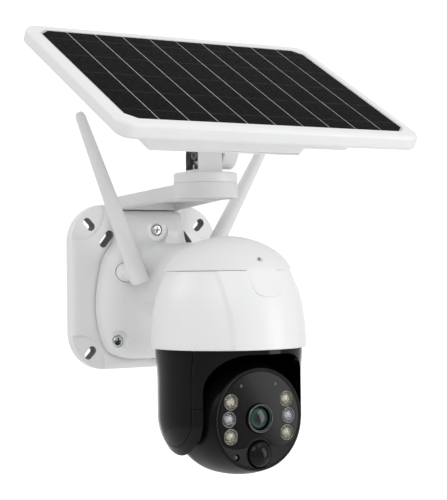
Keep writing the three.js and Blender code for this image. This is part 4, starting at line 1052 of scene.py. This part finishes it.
def hinge():
    """The post and lug that the panel tilts on, with their bolt and nut."""
    _, y, z = HINGE
    base = 86.1
    tab = prism(upright(9.3, base, y, z), -13, 8, "x", low_edge=0.7, high_edge=0.5)
    post = solid("swivel_post", tab, WHITE)
    pocket = upright(8.5, base + 1.6, y, z)
    carve(post, solid("tool", prism(pocket, -20, -5.3, "x"), TIN), own_material=True)
    done(post, WHITE, "panel_swivel", "white_plastic", "hinge_post", sharp=30)
    shield = [(-5.2, -5.4), (0, -8), (5.2, -5.4), (7.4, 0), (6.6, 5), (-6.6, 5), (-7.4, 0)]
    shield = [(y + a, z + b) for a, b in shield]
    plate = solid("hinge_shield", prism(arc_corners(shield, 1.2, 4), -8.2, -5.6, "x", low_edge=0.4), STEEL)
    done(plate, STEEL, "panel_swivel", "steel", sharp=30)
    rib_outline = rectangle(0.9, 2.2, 0.3, y, base + 3.2, steps=3)
    rib = solid("hinge_pocket_rib", prism(rib_outline, -11.6, -5.4, "x", low_edge=0.3))
    done(rib, STEEL, "panel_swivel", "steel", sharp=40)

    matrix = Matrix.Translation(Vector(HINGE) * MM) @ Matrix.Rotation(PANEL_TILT, 4, "X")
    reach = 28.1
    round_end = [(10 * math.cos(a), 10 * math.sin(a)) for a in np.linspace(math.pi, TAU, 30)]
    shape = round_end + [(10, reach - 1.2), (-10, reach - 1.2)]
    lug = solid("panel_lug_body", prism(shape, 8.4, 21, "x", low_edge=0.5, high_edge=0.8), WHITE)
    foot = prism(rectangle(24, 15, 3, 8, 0), reach - 2.8, reach, low_edge=0.8, high_edge=0.1)
    flange = solid("tool", foot, WHITE)
    carve(lug, flange, how="UNION")
    pocket = lathe([(0, 17.4), (6.6, 17.4), (6.6, 30), (0, 30)], "x", segments=64)
    carve(lug, solid("tool", pocket, WHITE))
    done(lug, WHITE, "solar_panel", "white_plastic", "panel_lug", sharp=30, matrix=matrix)
    hexagon = arc_corners(circle(4.6, 6), 0.3, 3)
    head_part = solid("hinge_bolt_head", prism(hexagon, -11.4, -8.5, "x", low_edge=0.7), DARK_STEEL_AND_CROSS_SHADE)
    washer = [(0, -8.5), (5.6, -8.5), (5.6, -8.2), (0, -8.2)]
    carve(head_part, solid("tool", lathe(washer, "x", segments=48), STEEL), how="UNION", own_material=True)
    # painted shade: the hex socket's walls take the darker grey of a shaded recess
    socket = solid("tool", prism(circle(1.9, 6), -12, -10, "x"), PAINTED_RECESS_SHADE)
    carve(head_part, socket, own_material=True)
    done(head_part, DARK_STEEL_AND_CROSS_SHADE, "solar_panel", "steel", "hinge_bolt", sharp=30, matrix=matrix)
    nut = arc_corners(circle(5.1, 6), 0.3, 3)
    nut_part = solid("hinge_nut_body", prism(nut, 17.7, 20.4, "x", high_edge=0.6), STEEL)
    done(nut_part, STEEL, "solar_panel", "steel", "hinge_nut", sharp=30, matrix=matrix)


# ---------------------------------------------------------------- solar panel
def chamfered(half_x, half_y, chamfer):
    corners = [(-half_x + chamfer, -half_y), (half_x - chamfer, -half_y), (half_x, -half_y + chamfer),
               (half_x, half_y - chamfer), (half_x - chamfer, half_y), (-half_x + chamfer, half_y),
               (-half_x, half_y - chamfer), (-half_x, -half_y + chamfer)]
    return arc_corners(corners, 0.5, 2)


def solar_panel():
    matrix = Matrix.Translation(Vector(PANEL_CENTRE) * MM) @ Matrix.Rotation(PANEL_TILT, 4, "X")
    outline = rectangle(PANEL["width"] / 2, PANEL["depth"] / 2, PANEL["corner"], steps=20)
    body = solid("panel_rim", prism(outline, -PANEL["thick"], 0, low_edge=3.2, high_edge=3.4, steps=9), WHITE)
    opening = chamfered(117.3, 78.6, 8)
    carve(body, solid("tool", prism(opening, -3.5, 0.02, high_edge=-0.5), WHITE))
    carve(body, solid("tool", prism(rectangle(112, 73, 2), 3 - PANEL["thick"], -3.4), WHITE))
    body.data.transform(matrix)
    done(body, WHITE, "solar_panel", "white_plastic", "panel_frame", sharp=28)
    sheet = solid("cell_sheet", prism(chamfered(117, 78.3, 8), -3.2, -0.75, high_edge=0.2))
    done(sheet, BACKSHEET, "solar_panel", "solar_cells", "solar_laminate", sharp=30, matrix=matrix)

    half = CELLS["count"] * CELLS["pitch"] / 2
    verts, faces = [], []
    for k in range(CELLS["count"]):
        x = -half + CELLS["pitch"] * (k + 0.5)
        w, d, c = CELLS["width"] / 2, CELLS["half_depth"], CELLS["chamfer"]
        if k in (0, CELLS["count"] - 1):
            outer = -1 if k == 0 else 1
            shape = [(-w, -d), (w - c, -d), (w, c - d), (w, d - c), (w - c, d), (-w, d)]
            shape = [(outer * a, b) for a, b in shape][::outer]
        else:
            shape = [(-w, -d), (w, -d), (w, d), (-w, d)]
        strip = prism([(x + a, b) for a, b in shape], -0.9, -0.62)
        faces += [tuple(i + len(verts) for i in f) for f in strip[1]]
        verts += strip[0]
    done(solid("cell_strips", (verts, faces)), CELL, "solar_panel", "solar_cells", sharp=30, matrix=matrix)

    roof = -PANEL["thick"] - 0.05
    deep, shallow = roof - UNDERBOX["deep"], roof - UNDERBOX["shallow"]
    under = [(-103, roof), (-86, deep), (38, deep), (41, shallow), (78, shallow), (86, roof)]
    under = rounded(under, [0, 3, 1.5, 1.5, 2.5, 0], steps=6)
    back_box = solid("panel_underbox", prism(under, -UNDERBOX["back"], -UNDERBOX["front"], "-y",
                                             low_edge=1.6, high_edge=2.2))
    done(back_box, WHITE, "solar_panel", "white_plastic", "panel_back_box", sharp=30, matrix=matrix)
    for x in (-70, -24, 22):
        for y in (-44, 28):
            head_shape = [(0, 0), (2.6, 0), (2.6, 0.7), (0, 0.9)]
            spot = matrix @ Matrix.Translation(Vector((x, y, deep)) * MM) @ Matrix.Rotation(math.pi, 4, "X")
            mark = lathe(rounded(head_shape, [0, 0, 0.3, 0], closed=False), segments=40)
            name = f"box_screw_{'a' if y < 0 else 'b'}{x + 70}"
            done(solid(name, mark), STEEL, "solar_panel", "steel", sharp=40, matrix=spot)


def inner_pieces():
    """CAD pieces that stay as they are, each with its finish."""
    finishes = {
        RUBBER: ["cover_gasket", "cable_inlet"],
        WRAP: ["battery_cell_left", "battery_cell_middle", "battery_cell_right"],
        SATIN: ["dome_floor", "speaker", "camera_module"],
        BOARD: ["main_board", "lamp_board"],
        TIN: ["pan_motor", "tilt_motor", "motion_sensor"],
        NYLON: ["pan_turntable", "pan_gear", "pan_pinion", "tilt_gear", "tilt_pinion",
                "tilt_axle_left", "tilt_axle_right"],
        STEEL: ["swivel_screw"],
    }
    for look, names in finishes.items():
        for name in names:
            node = frame["nodes"][name]
            node.data.materials.clear()
            node.data.materials.append(look)
            node.data.polygons.foreach_set("use_smooth", [True] * len(node.data.polygons))
            node.data.set_sharp_from_angle(angle=math.radians(35))


# ---------------------------------------------------------------- studio
CARD_GLOW = 3.2
CAMERA_AT = Vector((-0.5762, -1.0303, 0.0168))
AZIMUTH, ELEVATION, ROLL = math.radians(-32.45), math.radians(-0.60), math.radians(0.70)


def set_camera():
    level = math.cos(ELEVATION)
    back = Vector((math.sin(AZIMUTH) * level, -math.cos(AZIMUTH) * level, math.sin(ELEVATION)))
    right = Vector((math.cos(AZIMUTH), math.sin(AZIMUTH), 0))
    up = back.cross(right)
    image_x = math.cos(ROLL) * right - math.sin(ROLL) * up
    image_y = math.sin(ROLL) * right + math.cos(ROLL) * up
    data = bpy.data.cameras.new("camera")
    data.lens = 105.9
    data.sensor_width = 36
    data.clip_end = 50
    eye = bpy.data.objects.new("camera", data)
    turn = Matrix((image_x, image_y, back)).transposed().to_4x4()
    eye.matrix_world = Matrix.Translation(CAMERA_AT) @ turn
    bpy.context.scene.collection.objects.link(eye)
    bpy.context.scene.camera = eye
    return back


def area_light(name, at, target, width, height, watts, colour=(1, 1, 1)):
    data = bpy.data.lights.new(name, "AREA")
    data.shape = "RECTANGLE"
    data.size, data.size_y, data.energy, data.color = width, height, watts, colour
    lamp_object = bpy.data.objects.new(name, data)
    lamp_object.location = at
    lamp_object.rotation_mode = "QUATERNION"
    lamp_object.rotation_quaternion = (Vector(target) - Vector(at)).to_track_quat("-Z", "Y")
    bpy.context.scene.collection.objects.link(lamp_object)
    return lamp_object


def window_card():
    """A soft card whose slanting edge is mirrored as a diagonal in the camera's flat face."""
    data = bpy.data.lights.new("window_card", "AREA")
    data.shape = "RECTANGLE"
    width, height = 0.55, 0.9
    data.size, data.size_y = width, height
    data.energy = CARD_GLOW * width * height * math.pi
    mirror_y = 2 * FACE_Y * MM - CAMERA_AT.y  # the camera's place in the mirror of the face
    seen_from = Vector((CAMERA_AT.x, mirror_y, CAMERA_AT.z))
    ends = []
    for x, z in ((-11.5, 32.6), (19.2, -21.1)):
        point = Vector((x, FACE_Y, TILT_Z + z)) * MM
        ends.append(seen_from + (point - seen_from) * 2)
    along = (ends[1] - ends[0]).normalized()
    across = Vector((-along.z, 0, along.x))
    if across.x < 0:
        across = -across
    facing = across.cross(along)
    if facing.y < 0:
        facing = -facing
    centre = (ends[0] + ends[1]) / 2 + across * width / 2
    light = bpy.data.objects.new("window_card", data)
    turn = Matrix((across, across.cross(facing), -facing)).transposed()
    light.matrix_world = Matrix.Translation(centre) @ turn.to_4x4()
    bpy.context.scene.collection.objects.link(light)


def studio(back):
    """A pale floor and a soft room: bright above and behind the object, dim at eye level in front."""
    scene = bpy.context.scene
    scene.view_settings.view_transform = "Standard"
    world = bpy.data.worlds.new("room")
    scene.world = world
    world.use_nodes = True
    tree = world.node_tree
    background = tree.nodes["Background"]
    direction = tree.nodes.new("ShaderNodeTexCoord").outputs["Generated"]

    def facing(vector, start, end):
        dot = tree.nodes.new("ShaderNodeVectorMath")
        dot.operation = "DOT_PRODUCT"
        tree.links.new(direction, dot.inputs[0])
        dot.inputs[1].default_value = vector
        ease = tree.nodes.new("ShaderNodeMapRange")
        ease.interpolation_type = "SMOOTHSTEP"
        ease.inputs["From Min"].default_value = start
        ease.inputs["From Max"].default_value = end
        tree.links.new(dot.outputs["Value"], ease.inputs["Value"])
        return ease.outputs["Result"]

    def blend(share, a, b):
        m = tree.nodes.new("ShaderNodeMix")
        m.data_type = "RGBA"
        tree.links.new(share, m.inputs[0])
        for socket, value in ((m.inputs[6], a), (m.inputs[7], b)):
            if isinstance(value, float):
                socket.default_value = (value, value, value, 1)
            else:
                tree.links.new(value, socket)
        return m.outputs[2]

    level = blend(facing(tuple(-back), 0.8, 0.96), 0.56, 1.15)
    tree.links.new(blend(facing((0, 0, 1), 0.25, 0.7), level, 0.76), background.inputs["Color"])

    floor = solid("floor", lathe([(0, -2), (1500, -2), (1500, 0), (0, 0)], "z", (0, 0, -620), 96))
    pale = Look("floor_paint", Roughness=0.8)
    pale.colour(pale.ramp(pale.noise(3, 4), [(0.3, (0.87, 0.87, 0.87)), (0.7, (0.9, 0.9, 0.9))]))
    pale.bump(pale.noise(60, 3), 0.1, 0.3)
    floor.data.materials.append(pale.material)
    target = (0, -0.1, 0.02)
    area_light("key", (0.5, -1.35, 1.35), target, 1.0, 0.8, 3)
    area_light("fill", (-0.95, -1.2, 1.0), target, 1.0, 0.8, 6)
    area_light("bounce", (-0.5, -1.3, -0.95), target, 1.2, 0.7, 11)
    area_light("rear_left", (-1.3, 0.7, 0.9), target, 0.8, 0.8, 4)
    window_card()


studio(set_camera())
wall_plate()
front_cover()
for side, (sx, sz, sy) in COVER_SCREWS.items():
    cross_screw(f"screw_{side}", f"cover_screw_{side}", sx, sz, sy, 4.2)
antenna_sockets()
antennas()
dome()
yoke()
head()
arm()
solar_panel()
inner_pieces()

bpy.context.view_layer.update()
